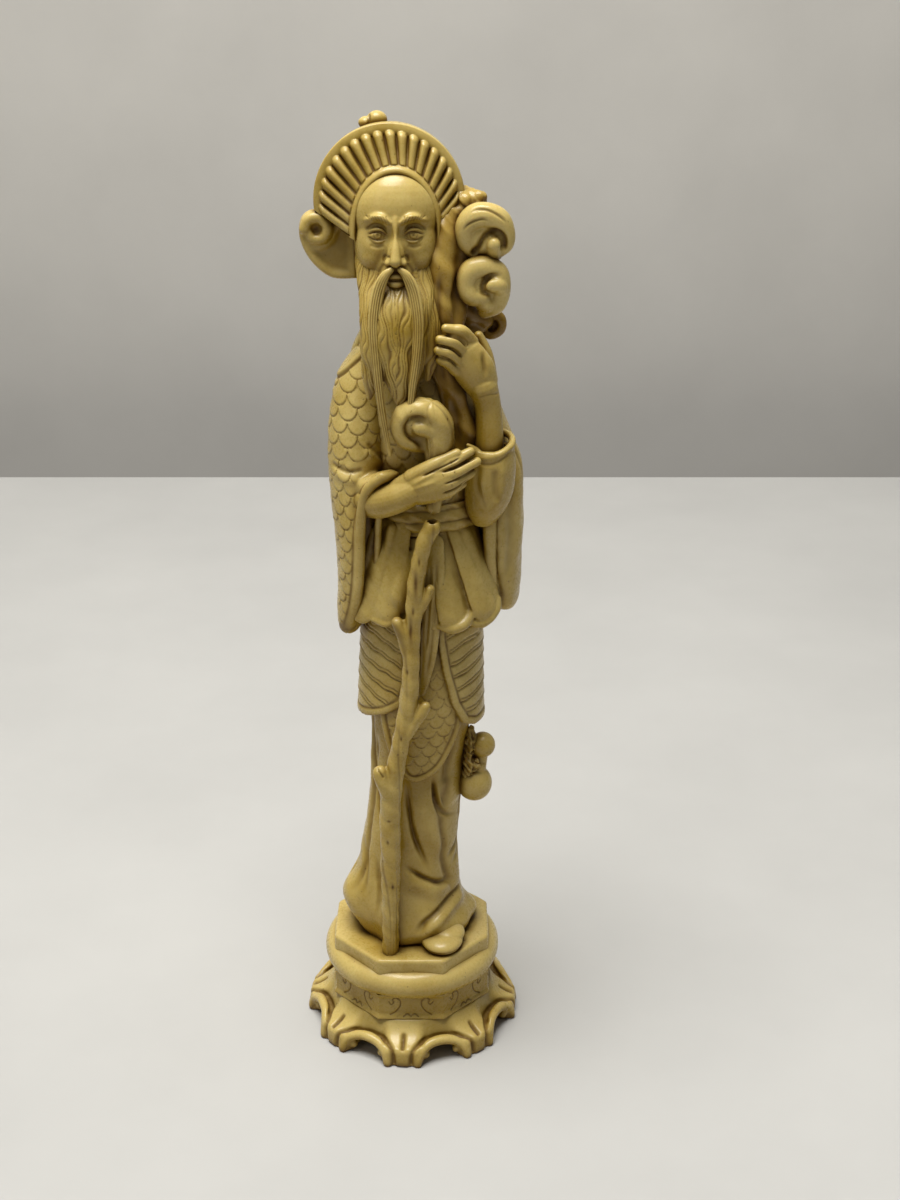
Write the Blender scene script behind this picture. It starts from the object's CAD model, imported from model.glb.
# %% [markdown]
# # A bearded sage in cast resin
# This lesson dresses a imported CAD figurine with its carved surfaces. The real one is poured in resin
# from a mould of an ivory carving: every piece meets the next at a step or an undercut, the raised parts
# are worn pale and glossy, and brown stain has stayed in everything that is cut in.
# The CAD part gives the place and size of each piece. Each is carved here again in full detail, at the
# same place, and stands for its plain solid.

# %% The frame
import math

import bpy
import numpy as np
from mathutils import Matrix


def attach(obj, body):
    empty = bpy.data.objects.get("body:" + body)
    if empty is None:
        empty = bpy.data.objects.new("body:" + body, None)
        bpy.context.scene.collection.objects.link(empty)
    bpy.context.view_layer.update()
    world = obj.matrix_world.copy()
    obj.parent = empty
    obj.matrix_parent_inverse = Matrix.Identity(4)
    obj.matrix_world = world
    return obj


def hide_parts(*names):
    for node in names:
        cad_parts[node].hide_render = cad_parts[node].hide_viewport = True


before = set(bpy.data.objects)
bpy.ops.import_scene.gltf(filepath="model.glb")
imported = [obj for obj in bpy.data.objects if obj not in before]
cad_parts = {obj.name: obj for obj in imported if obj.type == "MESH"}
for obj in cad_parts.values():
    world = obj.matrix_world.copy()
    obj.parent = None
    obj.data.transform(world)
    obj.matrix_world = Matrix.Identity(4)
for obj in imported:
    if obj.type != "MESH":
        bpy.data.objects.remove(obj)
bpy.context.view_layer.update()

# %% [markdown]
# ## Working at a thousand times the size
# The whole figurine is 25 cm high and its finest cuts are 0.2 mm wide, close to the distances at which
# Blender's tools already weld points together. So each piece is modelled with 1 unit as 1 mm and brought
# to real size when it is finished. The pieces could also be modelled in metres with every threshold
# changed, but then each size would have to be written with three zeros.

# %% Selecting, reading and moving points
MM = 0.001
FULL_TURN = 2 * math.pi
FRONT = -math.pi / 2  # the direction of the viewer, as an angle round the Z axis


def only(piece):
    """Selects this piece alone and makes it active."""
    bpy.ops.object.select_all(action="DESELECT")
    piece.select_set(True)
    bpy.context.view_layer.objects.active = piece


def added(add, **values):
    """A new primitive, alone selected, with its place, turn and size applied."""
    bpy.ops.object.select_all(action="DESELECT")
    add(**values)
    bpy.ops.object.transform_apply(location=True, rotation=True, scale=True)
    return bpy.context.object


def points(piece):
    """The places of all points, as rows of x, y, z."""
    flat = np.empty(3 * len(piece.data.vertices))
    piece.data.vertices.foreach_get("co", flat)
    return flat.reshape(-1, 3)


def move_to(piece, at):
    piece.data.vertices.foreach_set("co", at.ravel())
    piece.data.update()


def outward(piece):
    """The normals of all points."""
    flat = np.empty(3 * len(piece.data.vertices))
    piece.data.vertex_normals.foreach_get("vector", flat)
    return flat.reshape(-1, 3)


def push(piece, amount, out=None):
    """Moves each point by its amount along its normal, or along out."""
    out = outward(piece) if out is None else out
    move_to(piece, points(piece) + out * amount[:, None])


def stand_on(piece, level):
    """Flattens whatever is below a level."""
    at = points(piece)
    at[:, 2] = np.maximum(at[:, 2], level)
    move_to(piece, at)


def apply(piece, kind, **values):
    """Adds one modifier with these values and applies it."""
    only(piece)
    modifier = piece.modifiers.new(kind, kind)
    for key, value in values.items():
        setattr(modifier, key, value)
    bpy.ops.object.modifier_apply(modifier=modifier.name)


# %% [markdown]
# ## Rolling a grid into a closed form
# A robe, a sleeve or a finger is a stack of outlines. By hand one would extrude a circle again and again
# and scale each ring. Here a flat grid primitive with as many columns as the outline has points is rolled
# up: each row becomes one outline, its first and last rows close to a point, and the seam is welded.
# This keeps the quads even, which the later carving needs.

# %% Rolled grids
def rolled(name, rings, tone=None):
    """A closed form through rings, an array of rows x points around x 3; tone is its stain, if any."""
    rows, around = rings.shape[:2]
    piece = added(bpy.ops.mesh.primitive_grid_add, x_subdivisions=around, y_subdivisions=rows + 1, size=2)
    piece.name = name
    flat = (points(piece) + 1) / 2
    column = np.rint(flat[:, 0] * around).astype(int) % around
    row = np.rint(flat[:, 1] * (rows + 1)).astype(int)
    first, last = (np.repeat(r.mean(axis=0, keepdims=True), around, axis=0) for r in (rings[0], rings[-1]))
    stack = np.concatenate([first[None], rings, last[None]])
    move_to(piece, stack[row, column])
    if tone is not None:
        stain(piece, np.concatenate([tone[:1], tone, tone[-1:]])[row, column])
    bpy.ops.object.mode_set(mode="EDIT")
    bpy.ops.mesh.select_all(action="SELECT")
    bpy.ops.mesh.remove_doubles(threshold=0.001)
    bpy.ops.mesh.normals_make_consistent(inside=False)
    bpy.ops.object.mode_set(mode="OBJECT")
    return piece


def between(keys, share):
    """Smooth values between keys, which are rows of numbers, at shares from 0 to 1."""
    keys = np.asarray(keys, float)
    place = np.clip(share, 0, 1) * (len(keys) - 1)
    i = np.minimum(place.astype(int), len(keys) - 2)
    t = (place - i)[..., None]
    a, b, c, d = (keys[np.clip(i + n, 0, len(keys) - 1)] for n in (-1, 0, 1, 2))
    return b + 0.5 * t * (c - a + t * (2 * a - 5 * b + 4 * c - d + t * (3 * (b - c) + d - a)))


def smooth(value, low, high):
    """0 below low, 1 above high and an S curve between."""
    t = np.clip((value - low) / (high - low), 0, 1)
    return t * t * (3 - 2 * t)


def bell(value, width):
    """1 at 0, falling to both sides as a bell does."""
    return np.exp(-((value / width) ** 2))


def upright(keys, rows, around, shape=None):
    """Rings through keys x, y, z, half width, half depth; shape(angle, z, share) gives out and lift."""
    share = np.linspace(0, 1, rows)
    x, y, z, wide, deep = (v[:, None] for v in between(keys, share).T)
    angle, share = np.meshgrid(np.linspace(0, FULL_TURN, around, endpoint=False), share)
    z = np.broadcast_to(z, angle.shape)
    out, lift = shape(angle, z, share) if shape else (0, 0)
    return np.stack(
        [x + (wide + out) * np.cos(angle), y + (deep + out) * np.sin(angle), z + lift], axis=-1
    )


def limb(keys, rows=16, around=16, flat=1, facing=(0, -1, 0)):
    """Rings of a tapering limb through keys x, y, z, radius, with round ends."""
    tip = np.linspace(0, 1, 4, endpoint=False) * math.pi / 2
    share = np.concatenate([np.zeros(4), np.linspace(0, 1, rows), np.ones(4)])
    size = np.concatenate([np.sin(tip), np.ones(rows), np.sin(tip)[::-1]])
    size = np.maximum(size, 0.02)
    beyond = np.concatenate([-np.cos(tip), np.zeros(rows), np.cos(tip)[::-1]])
    near = 0.5 / rows
    x, y, z, radius = between(keys, share).T
    ahead = between(keys, np.minimum(share + near, 1))[:, :3]
    behind = between(keys, np.maximum(share - near, 0))[:, :3]
    along = ahead - behind
    along /= np.linalg.norm(along, axis=1, keepdims=True)
    across = np.cross(along, np.asarray(facing, float))
    across /= np.maximum(np.linalg.norm(across, axis=1, keepdims=True), 1e-6)
    out = np.cross(across, along)
    centre = np.stack([x, y, z], axis=1) + along * (beyond * radius)[:, None]
    angle = np.linspace(0, FULL_TURN, around, endpoint=False)
    r = (size * radius)[:, None, None]
    return (
        centre[:, None]
        + r * across[:, None] * np.cos(angle)[None, :, None]
        + r * flat * out[:, None] * np.sin(angle)[None, :, None]
    )


# %% [markdown]
# ## Clay
# Hands, curls, the crown and the beard branch and run into each other, and a stack of outlines can't
# branch. They are built as a sculptor builds in clay: round lumps and limbs are pressed into each other,
# joined, and turned into one even skin with a voxel remesh. A smoothing pass then takes off the steps.

# %% Lumps, and the skin over them
def ball(centre, size):
    """A round lump with these half sizes."""
    sphere = bpy.ops.mesh.primitive_uv_sphere_add
    return added(sphere, segments=32, ring_count=20, radius=1, location=centre, scale=size)


def tube(keys, **detail):
    """A lump along a line; keys are x, y, z and radius."""
    return rolled("lump", limb(keys, **detail))


def even_skin(piece, voxel, rounds):
    """One skin of even squares, voxel wide, smoothed this many times."""
    apply(piece, "REMESH", mode="VOXEL", voxel_size=voxel)
    apply(piece, "SMOOTH", factor=0.5, iterations=rounds)


def clay(name, lumps, voxel, rounds):
    """Joins the lumps into one piece with an even skin."""
    bpy.ops.object.select_all(action="DESELECT")
    for lump in lumps:
        lump.select_set(True)
    bpy.context.view_layer.objects.active = lumps[0]
    bpy.ops.object.join()
    piece = bpy.context.object
    piece.name = name
    even_skin(piece, voxel, rounds)
    return piece


# %% [markdown]
# ## Cuts and stain
# A carver's cut is a line on the surface with a width and a depth. Points near the line are pushed in
# along their normals. The same cut is written to an attribute named stain, from 0 to 1, which the
# material reads later to darken it, because the stain of the real one stayed in its cuts.

# %% Cutting along lines
def curve_through(line, steps=8):
    """A smooth line through a few points."""
    return between(line, np.linspace(0, 1, steps * (len(line) - 1) + 1))


def distance_to(at, line):
    """The distance of each point to a line, and the share of the line's length where it is nearest."""
    line = np.asarray(line, float)
    lengths = np.linalg.norm(np.diff(line, axis=0), axis=1)
    starts = np.concatenate([[0], np.cumsum(lengths)])
    best = np.full(len(at), 1e9)
    share = np.zeros(len(at))
    for a, b, length, start in zip(line[:-1], line[1:], lengths, starts):
        if length < 1e-9:
            continue
        t = np.clip((at - a) @ (b - a) / length**2, 0, 1)
        gap = np.linalg.norm(at - (a + t[:, None] * (b - a)), axis=1)
        closer = gap < best
        best[closer] = gap[closer]
        share[closer] = (start + t * length)[closer] / starts[-1]
    return best, share


def inside(at, outline):
    """The distance to an outline, above 0 for points inside it."""
    outline = np.asarray(outline, float)
    gap, _ = distance_to(at, np.concatenate([outline, outline[:1]]))
    x, z = at[:, 0], at[:, 1]
    odd = np.zeros(len(at), bool)
    for (x0, z0), (x1, z1) in zip(outline, np.roll(outline, -1, axis=0)):
        if z0 == z1:
            continue
        crosses = (z0 > z) != (z1 > z)
        odd ^= crosses & (x < (x1 - x0) * (z - z0) / (z1 - z0) + x0)
    return np.where(odd, gap, -gap)


def stain(piece, amount):
    """Adds to the stain of each point; the highest amount counts."""
    data = piece.data
    layer = data.attributes.get("stain") or data.attributes.new("stain", "FLOAT", "POINT")
    old = np.empty(len(data.vertices))
    layer.data.foreach_get("value", old)
    layer.data.foreach_set("value", np.clip(np.maximum(old, amount), 0, 1))


def cut(piece, lines, width, depth, dark, towards=(0, -1, 0), reach=0.1, plane=(0, 2), taper=0.14):
    """Cuts grooves along lines drawn on a plane, where the surface faces towards; their ends taper."""
    at, out = points(piece), outward(piece)
    faces = smooth(out @ np.asarray(towards, float), reach - 0.1, reach + 0.2)
    move, tone = np.zeros(len(at)), np.zeros(len(at))
    for line in lines:
        gap, share = distance_to(at[:, plane], curve_through(line))
        ends = smooth(share, -0.02, taper) * smooth(1 - share, -0.02, taper)
        mark = bell(gap, width) * faces * ends
        move = np.minimum(move, -depth * mark)
        tone = np.maximum(tone, dark * mark)
    push(piece, move)
    stain(piece, tone)


def swell(piece, lines, width, height, towards=(0, -1, 0)):
    """Raises soft ridges along lines, as a fold between two grooves."""
    at, out = points(piece), outward(piece)
    faces = smooth(out @ np.asarray(towards, float), 0, 0.3)
    move = np.zeros(len(at))
    for line in lines:
        gap, share = distance_to(at[:, (0, 2)], curve_through(line))
        ends = smooth(share, -0.05, 0.25) * smooth(1 - share, -0.05, 0.25)
        move += height * bell(gap, width) * faces * ends
    push(piece, move)


def waves(at, *rows):
    """Soft unevenness of a hand-finished surface: sines with fixed directions, by length, height, phase."""
    total = np.zeros(at.shape[:-1])
    for length, height, phase in rows:
        k = FULL_TURN / length
        first = np.sin(k * (at[..., 0] + 0.6 * at[..., 2]) + phase)
        second = np.sin(k * (0.8 * at[..., 1] - 0.7 * at[..., 2]) + 2.1 * phase)
        total += height * first * second
    return total


def roughen(piece, *rows):
    push(piece, waves(points(piece), *rows))


SCALE_DROP = 1.05  # how far a scale hangs over the next row, in rows


def scales(across, up):
    """A coat of overlapping round scales, 1 unit wide and 1 unit apart in height.
    Returns how proud each point stands, from 0 to 1, and how near it is to a scale's lower edge."""
    edge = np.full(np.broadcast(across, up).shape, -1e9)
    row = np.full(edge.shape, -1e9)
    for odd in (0, 1):
        x = np.mod(across + odd / 2, 1) - 0.5
        drop = SCALE_DROP * np.sqrt(np.maximum(1 - (2 * x) ** 2, 0)) ** 0.9
        top = 2 * np.floor((up + drop - odd) / 2) + odd
        higher = top > row
        row = np.where(higher, top, row)
        edge = np.where(higher, up + drop - top, edge)
    return 1 - np.clip(edge / 2.2, 0, 1), np.clip(edge, 0, 9)


# %% [markdown]
# ## The resin's finish
# The real resin is ivory-coloured all through, polished to a satin gloss on what stands proud, and stained
# amber brown in what lies deep. A picture of such a surface could be wrapped round each piece, but it would
# stretch. Here the colour is worked out from the shape: Ambient Occlusion says how hidden a point is, the
# stain attribute says where it was cut, another one says which way the surface looks, because what looks up
# is rubbed palest, and noise breaks all of them up as wear does.

# %% Building the finish from nodes
def node(tree, kind, inputs=(), **settings):
    """Adds a node; inputs are (name or number, value or output socket)."""
    made = tree.nodes.new(kind)
    for key, value in settings.items():
        setattr(made, key, value)
    for key, value in inputs:
        if isinstance(value, bpy.types.NodeSocket):
            tree.links.new(value, made.inputs[key])
        else:
            made.inputs[key].default_value = value
    return made


def sums(tree, operation, a, b, clamp=False):
    """One step of arithmetic between two values or sockets."""
    return node(tree, "ShaderNodeMath", [(0, a), (1, b)], operation=operation, use_clamp=clamp).outputs[0]


def ranged(tree, value, low, high, to_low=0.0, to_high=1.0):
    """The value brought from one range to another, and held inside it."""
    inputs = [("Value", value), ("From Min", low), ("From Max", high)]
    inputs += [("To Min", to_low), ("To Max", to_high)]
    return node(tree, "ShaderNodeMapRange", inputs).outputs["Result"]


def blend(tree, share, a, b):
    """Two colours or colour sockets mixed by a share."""
    mix = node(tree, "ShaderNodeMix", [("Factor", share)], data_type="RGBA")
    for socket, value in ((mix.inputs[6], a), (mix.inputs[7], b)):
        if isinstance(value, bpy.types.NodeSocket):
            tree.links.new(value, socket)
        else:
            socket.default_value = (*value, 1)
    return mix.outputs[2]


def noise(tree, where, size, detail, roughness=0.55):
    """Noise with patches of about this size in metres."""
    inputs = [("Vector", where), ("Scale", 1 / size), ("Detail", detail), ("Roughness", roughness)]
    return node(tree, "ShaderNodeTexNoise", inputs).outputs["Fac"]


def resin(name, raised, middle, deep, least=0.0):
    """A finish from three colours; least is how far all of it is on its way from raised to middle."""
    material = bpy.data.materials.new(name)
    material.use_nodes = True
    tree = material.node_tree
    shader = tree.nodes["Principled BSDF"]
    where = node(tree, "ShaderNodeTexCoord").outputs["Object"]
    patches = noise(tree, where, 0.016, 4)
    mottle = noise(tree, where, 0.0035, 4, 0.6)
    grain = noise(tree, where, 0.0008, 3, 0.6)
    cuts = node(tree, "ShaderNodeAttribute", attribute_name="stain").outputs["Fac"]
    close, wide = (
        node(tree, "ShaderNodeAmbientOcclusion", [("Distance", far)], samples=8).outputs["AO"]
        for far in (0.003, 0.014)
    )
    crevice = ranged(tree, close, 0.92, 0.34)
    shelter = ranged(tree, wide, 0.95, 0.25)
    broken = ranged(tree, mottle, 0.3, 0.7, 0.75, 1.2)
    dirt = sums(tree, "MULTIPLY", crevice, broken)
    dirt = sums(tree, "MAXIMUM", dirt, sums(tree, "MULTIPLY", cuts, broken))
    specks = ranged(tree, noise(tree, where, 0.0011, 1), 0.74, 0.79)
    dirt = sums(tree, "ADD", dirt, sums(tree, "MULTIPLY", specks, 0.5), True)
    looks_up = node(tree, "ShaderNodeAttribute", attribute_name="looks_up").outputs["Fac"]
    warmth = sums(tree, "MULTIPLY", shelter, 0.8)
    for more in (
        ranged(tree, patches, 0.35, 0.75, -0.2, 0.35),
        ranged(tree, mottle, 0.4, 0.8, -0.08, 0.14),
        ranged(tree, looks_up, 0.7, -0.4, 0, 0.72),
    ):
        warmth = sums(tree, "ADD", warmth, more)
    warmth = sums(tree, "ADD", warmth, least, True)
    body = blend(tree, warmth, raised, middle)
    tree.links.new(blend(tree, dirt, body, deep), shader.inputs["Base Color"])
    rough = ranged(tree, dirt, 0, 1, 0.27, 0.6)
    rough = sums(tree, "ADD", rough, ranged(tree, grain, 0.3, 0.7, -0.04, 0.07))
    tree.links.new(rough, shader.inputs["Roughness"])
    height = sums(tree, "ADD", sums(tree, "MULTIPLY", grain, 0.25), sums(tree, "MULTIPLY", mottle, 0.5))
    height = sums(tree, "SUBTRACT", height, sums(tree, "MULTIPLY", specks, 0.6))
    bump = node(tree, "ShaderNodeBump", [("Strength", 0.2), ("Distance", 0.00035), ("Height", height)])
    tree.links.new(bump.outputs["Normal"], shader.inputs["Normal"])
    for key, value in (
        ("IOR", 1.43),
        ("Subsurface Weight", 0.12),
        ("Subsurface Radius", (1.0, 0.6, 0.25)),
        ("Subsurface Scale", 0.0015),
    ):
        shader.inputs[key].default_value = value
    return material


ivory = resin("ivory resin", (0.635, 0.485, 0.163), (0.34, 0.211, 0.017), (0.125, 0.058, 0.003))
stained = resin("stained resin", (0.50, 0.35, 0.085), (0.27, 0.15, 0.014), (0.10, 0.044, 0.003), 0.1)
finishes = {"ivory_resin": ivory, "stained_resin": stained}
print("finishes:", ", ".join(finishes))

# %% [markdown]
# ## Handing a piece over
# Every finished piece is brought to real size, shaded smooth, given its finish, and takes the place of the
# CAD node that it stands for. Resin wears pale where hands and dust brushes reach, so each point keeps how
# far it looks up, and worn makes a whole piece paler or, below zero, browner than its neighbours. Clay
# comes out much finer than its shape needs, so a piece with more triangles than most is thinned.

# %% Finishing a piece
made = []


def triangles(piece):
    return sum(len(face.vertices) - 2 for face in piece.data.polygons)


def hand_over(piece, *nodes, slot="ivory_resin", angle=None, worn=0.0, most=68000):
    count = triangles(piece)
    if count > most:
        apply(piece, "DECIMATE", ratio=most / count)
    layer = piece.data.attributes.new("looks_up", "FLOAT", "POINT")
    layer.data.foreach_set("value", outward(piece)[:, 2] + worn)
    move_to(piece, points(piece) * MM)
    only(piece)
    if angle is None:
        bpy.ops.object.shade_smooth()
    else:
        bpy.ops.object.shade_smooth_by_angle(angle=math.radians(angle))
    piece.data.materials.clear()
    piece.data.materials.append(finishes[slot])
    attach(piece, "root")
    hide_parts(*nodes)
    made.append(triangles(piece))
    low, high = points(piece).min(axis=0) / MM, points(piece).max(axis=0) / MM
    print(piece.name, made[-1], "triangles,", np.round(low, 1), "to", np.round(high, 1), "mm")


# %% [markdown]
# ## The photographer's table
# The figurine stands on a pale sheet in front of a grey wall, under soft light from above. A broad panel
# overhead, a weak one from the front left and a pale sky give that light. The camera stands about where the
# photograph was taken: 42 cm in front, 30 cm up, looking down by 22 degrees.

# %% Sheet, wall, light and camera
def plain(name, colour):
    """A matt finish with soft patches a little darker than its colour."""
    material = bpy.data.materials.new(name)
    material.use_nodes = True
    tree = material.node_tree
    shader = tree.nodes["Principled BSDF"]
    where = node(tree, "ShaderNodeTexCoord").outputs["Object"]
    cloud = ranged(tree, noise(tree, where, 0.09, 5), 0.3, 0.7)
    darker = tuple(c * 0.92 for c in colour)
    tree.links.new(blend(tree, cloud, darker, colour), shader.inputs["Base Color"])
    shader.inputs["Roughness"].default_value = 0.85
    return material


plane = bpy.ops.mesh.primitive_plane_add
sheet = added(plane, size=4, location=(0, -1.51, 0))
sheet.name = "paper_sheet"
sheet.data.materials.append(plain("white paper", (0.565, 0.56, 0.54)))
wall = added(plane, size=6, location=(0, 0.62, 0.6), rotation=(math.pi / 2, 0, 0))
wall.name = "grey_wall"
wall.data.materials.append(plain("grey wall", (0.61, 0.59, 0.55)))


def lamp(name, place, aim, size, power, colour):
    """A round panel at a place that shines at its aim; size in metres, power in watts."""
    data = bpy.data.lights.new(name, "AREA")
    data.shape, data.size, data.energy, data.color = "DISK", size, power, colour
    light = bpy.data.objects.new(name, data)
    bpy.context.collection.objects.link(light)
    light.location = place
    back = np.subtract(place, aim)
    flat = math.hypot(back[0], back[1])
    light.rotation_euler = (math.atan2(flat, back[2]), 0, math.atan2(back[0], -back[1]))


lamp("ceiling panel", (-0.13, -0.12, 1.15), (0, 0, 0.1), 0.7, 16.5, (1, 0.985, 0.95))
lamp("window", (-0.8, -0.8, 0.8), (0, 0, 0.12), 0.6, 0.7, (1, 0.99, 0.97))
world = bpy.data.worlds.new("soft sky")
world.use_nodes = True
world.node_tree.nodes["Background"].inputs["Color"].default_value = (1, 0.985, 0.96, 1)
world.node_tree.nodes["Background"].inputs["Strength"].default_value = 0.12
bpy.context.scene.world = world
bpy.context.scene.view_settings.view_transform = "Standard"

SENSOR = 36  # mm over the picture's height
FOCAL_PIXELS = 1700
PICTURE_HEIGHT = 1200
PITCH = 22.4  # degrees that the camera looks down
camera = bpy.data.objects.new("photo camera", bpy.data.cameras.new("photo camera"))
bpy.context.collection.objects.link(camera)
camera.location = (0.01083, -0.41505, 0.2988)
camera.rotation_euler = (math.radians(90 - PITCH), 0, 0)
camera.data.sensor_width = SENSOR
camera.data.lens = SENSOR * FOCAL_PIXELS / PICTURE_HEIGHT
camera.data.clip_start = 0.01
bpy.context.scene.camera = camera
print("camera at", [round(v / MM) for v in camera.location], "mm, focal length", round(camera.data.lens, 1))

# %% [markdown]
# ## Pedestal: the scalloped foot
# Eight scroll feet carry a sloping skirt. Between two feet the rim draws in and lifts into an arch with a
# rolled bead along it. The slope could be turned on a lathe, but the rim isn't round, so a grid is rolled
# up with a radius that changes with the angle, and the beads are pressed on as clay before the cuts.

# %% The foot's slope
FOOT_TURN = math.radians(-4.5)
EIGHTH = math.pi / 4
RIM = 25.6  # radius of the rim in the middle of an arch
SCROLL = 4.2  # how far a foot stands out from it
FOOT_TOP = 10.6


def foot_share(angle):
    """1 in the middle of a foot, 0 in the middle of an arch."""
    return smooth(np.cos(8 * (angle - FRONT - FOOT_TURN)), -0.62, 0.42)


def turned_rings(angle, reach, z):
    """Rings from a radius and a height for every row and angle."""
    return np.stack([reach * np.cos(angle), reach * np.sin(angle), z + 0 * angle], -1)


def foot_slope():
    """Rings from the hollow underside over the rim and up the slope."""
    angle = np.linspace(0, FULL_TURN, 512, endpoint=False)
    foot = foot_share(angle)
    rim = RIM + SCROLL * foot
    low = 3.3 * (1 - smooth(foot, 0, 0.55))
    edge = 5.9 - 0.2 * foot
    rows = [(8, 4.2), (15, 4), (20, 3.8)]
    rows += [(rim - 3.2, low + 0.6), (rim - 1.8, low), (rim - 0.7, low), (rim - 0.1, low + 0.3)]
    rows += [(rim + 0.15 * math.sin(0.8 * k), low + (edge - low) * k / 5) for k in range(1, 5)]
    start = rim - 0.6
    for t in (k / 8 for k in range(9)):
        rows.append((start + (22.4 - start) * t, edge + (FOOT_TOP - edge) * (0.35 * t + 0.65 * t**2.2)))
    rows.append((20, FOOT_TOP))
    return np.stack([turned_rings(angle, reach, z) for reach, z in rows])


def to_side(angle):
    """The angle from the middle of the nearest of eight sides."""
    return np.mod(angle + EIGHTH / 2, EIGHTH) - EIGHTH / 2


def polar(phi, reach, z, number):
    """A point at phi degrees from the middle of foot number."""
    angle = FRONT + FOOT_TURN + number * EIGHTH + math.radians(phi)
    return [reach * math.cos(angle), reach * math.sin(angle), z]


# %% Beads over the arches
half_arch = [(8.3, 29.0, 0.9), (9.0, 28.7, 2.8), (11.6, 27.9, 4.7), (16.2, 27.0, 5.8), (22.5, 26.7, 6.2)]
arch = half_arch + [(45 - phi, reach, z) for phi, reach, z in half_arch[-2::-1]]
lumps = [rolled("slope", foot_slope())]
for number in range(8):
    bead = [(*polar(*place, number), 1.4) for place in arch]
    lumps.append(tube(bead, rows=30, around=12))
    for phi in (13.2, 31.8):
        lumps.append(ball(polar(phi, 27.2, 2.5, number), (1.15, 1.15, 1.25)))
foot = clay("foot_with_scrolls", lumps, voxel=0.33, rounds=8)
print("foot as clay:", len(foot.data.vertices), "points")

# %% [markdown]
# The eight sectors are alike, so the cuts are drawn once, in half a sector, and every point is folded
# into that half before its distance to them is taken: a groove over each bead that runs down the foot, and
# a slot on the top of the foot.

# %% Grooves and slots
at = points(foot)
reach = np.hypot(at[:, 0], at[:, 1])
turned = to_side(np.arctan2(at[:, 1], at[:, 0]) - FRONT - FOOT_TURN)
folded = np.stack([reach * np.cos(turned), reach * np.sin(np.abs(turned)), at[:, 2]], axis=1)
groove = [
    (4.6, 30, 0.3), (4.9, 29.8, 3.2), (6.4, 28.9, 5.7), (9.5, 27.3, 6.2), (15, 25.4, 6.3),
    (22.5, 24.9, 6.4),
]


def sector(places):
    """Places given by degrees, distance and height."""
    return np.array(
        [[r * math.cos(math.radians(p)), r * math.sin(math.radians(p)), z] for p, r, z in places]
    )


move, tone = np.zeros(len(at)), np.zeros(len(at))
for line, width, depth in (
    (sector(groove), 0.6, 0.95),
    (sector([(0, 25.2, 7.3), (0, 29.0, 5.8)]), 0.55, 1.0),
    (sector([(10.4, 29.4, 0.6), (10.9, 28.4, 2.6), (13, 27.2, 3.7)]), 0.3, 0.35),
):
    gap, _ = distance_to(folded, curve_through(line))
    move = np.minimum(move, -depth * bell(gap, width))
    tone = np.maximum(tone, 0.9 * bell(gap, width * 1.1))
push(foot, move + waves(at, (17, 0.08, 1.0), (7, 0.05, 2.0)))
stand_on(foot, 0)
stain(foot, tone)
hand_over(foot, "pedestal_foot", worn=0.05)

# %% [markdown]
# ## Pedestal: drum, ring and top plate
# The drum is an eight-sided prism with a scroll scratched into each side. The ring is turned. The top
# plate is a prism with bevelled edges, and it is made by hand from a cylinder with eight sides.

# %% The drum and its scratched scrolls
angle = np.linspace(0, FULL_TURN, 1024, endpoint=False)[None]
levels = np.concatenate([[0], np.linspace(0.05, 7.75, 60), [7.8]])[:, None]
flare = 0.55 * (1 - smooth(levels, 0.2, 1.6)) + 0.3 * smooth(levels, 6.4, 7.2)
reach = (42.9 + 2 * flare) / 2 / np.cos(to_side(angle))
drum = rolled("drum_with_scrolls", turned_rings(angle, reach, FOOT_TOP + levels))

scroll = [
    (-5.8, 1.5), (-5.2, 0.8), (-4.6, 1.2), (-4.8, 2.1), (-3.8, 2.5), (-2.8, 1.6), (-2.9, 0.3),
    (-3.9, -1.0), (-5.4, -1.8),
]
marks = [scroll, [(-1.9, -2.2), (-0.9, -1.7), (0, -2.2)]]
at = points(drum)
face = np.stack([21.4 * np.tan(to_side(np.arctan2(at[:, 1], at[:, 0]))), at[:, 2] - 14.1], axis=1)
tone = np.zeros(len(at))
for mark in marks:
    for flip in (1, -1):
        gap, _ = distance_to(face, curve_through(np.array(mark) * (1.05 * flip, 1.25)))
        tone = np.maximum(tone, bell(gap, 0.2))
tone *= (at[:, 2] > 10.7) & (at[:, 2] < 17.5)
push(drum, waves(at, (9, 0.05, 0.4)) - 0.2 * tone)
stain(drum, 0.8 * tone)
hand_over(drum, "pedestal_drum", angle=40, worn=-0.35)

# %% The turned ring
share = np.linspace(0, 1, 48)[:, None]
angle = np.linspace(0, FULL_TURN, 256, endpoint=False)[None]
bulge = math.pi * (share - 0.5)
reach = 20.5 + 4.25 * np.cos(bulge) ** 0.85
ring = rolled("turned_ring", turned_rings(angle, reach, 21.7 + 4.1 * np.sin(bulge)))
roughen(ring, (23, 0.12, 0.3), (11, 0.03, 1.7))
hand_over(ring, "pedestal_ring")

# %% The top plate
plate = added(
    bpy.ops.mesh.primitive_cylinder_add,
    vertices=8,
    radius=21.6 / math.cos(EIGHTH / 2),
    depth=5.3,
    location=(0, 0, 26.85),
    rotation=(0, 0, EIGHTH / 2),
)
plate.name = "octagon_plate"
apply(plate, "BEVEL", width=0.75, segments=5, limit_method="ANGLE", angle_limit=math.radians(30))
bpy.ops.object.mode_set(mode="EDIT")
bpy.ops.mesh.select_all(action="SELECT")
bpy.ops.mesh.quads_convert_to_tris()
bpy.ops.object.mode_set(mode="OBJECT")
even_skin(plate, 0.35, 4)
roughen(plate, (15, 0.07, 0.9), (6, 0.03, 0.2))
hand_over(plate, "pedestal_top", worn=0.1)


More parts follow.
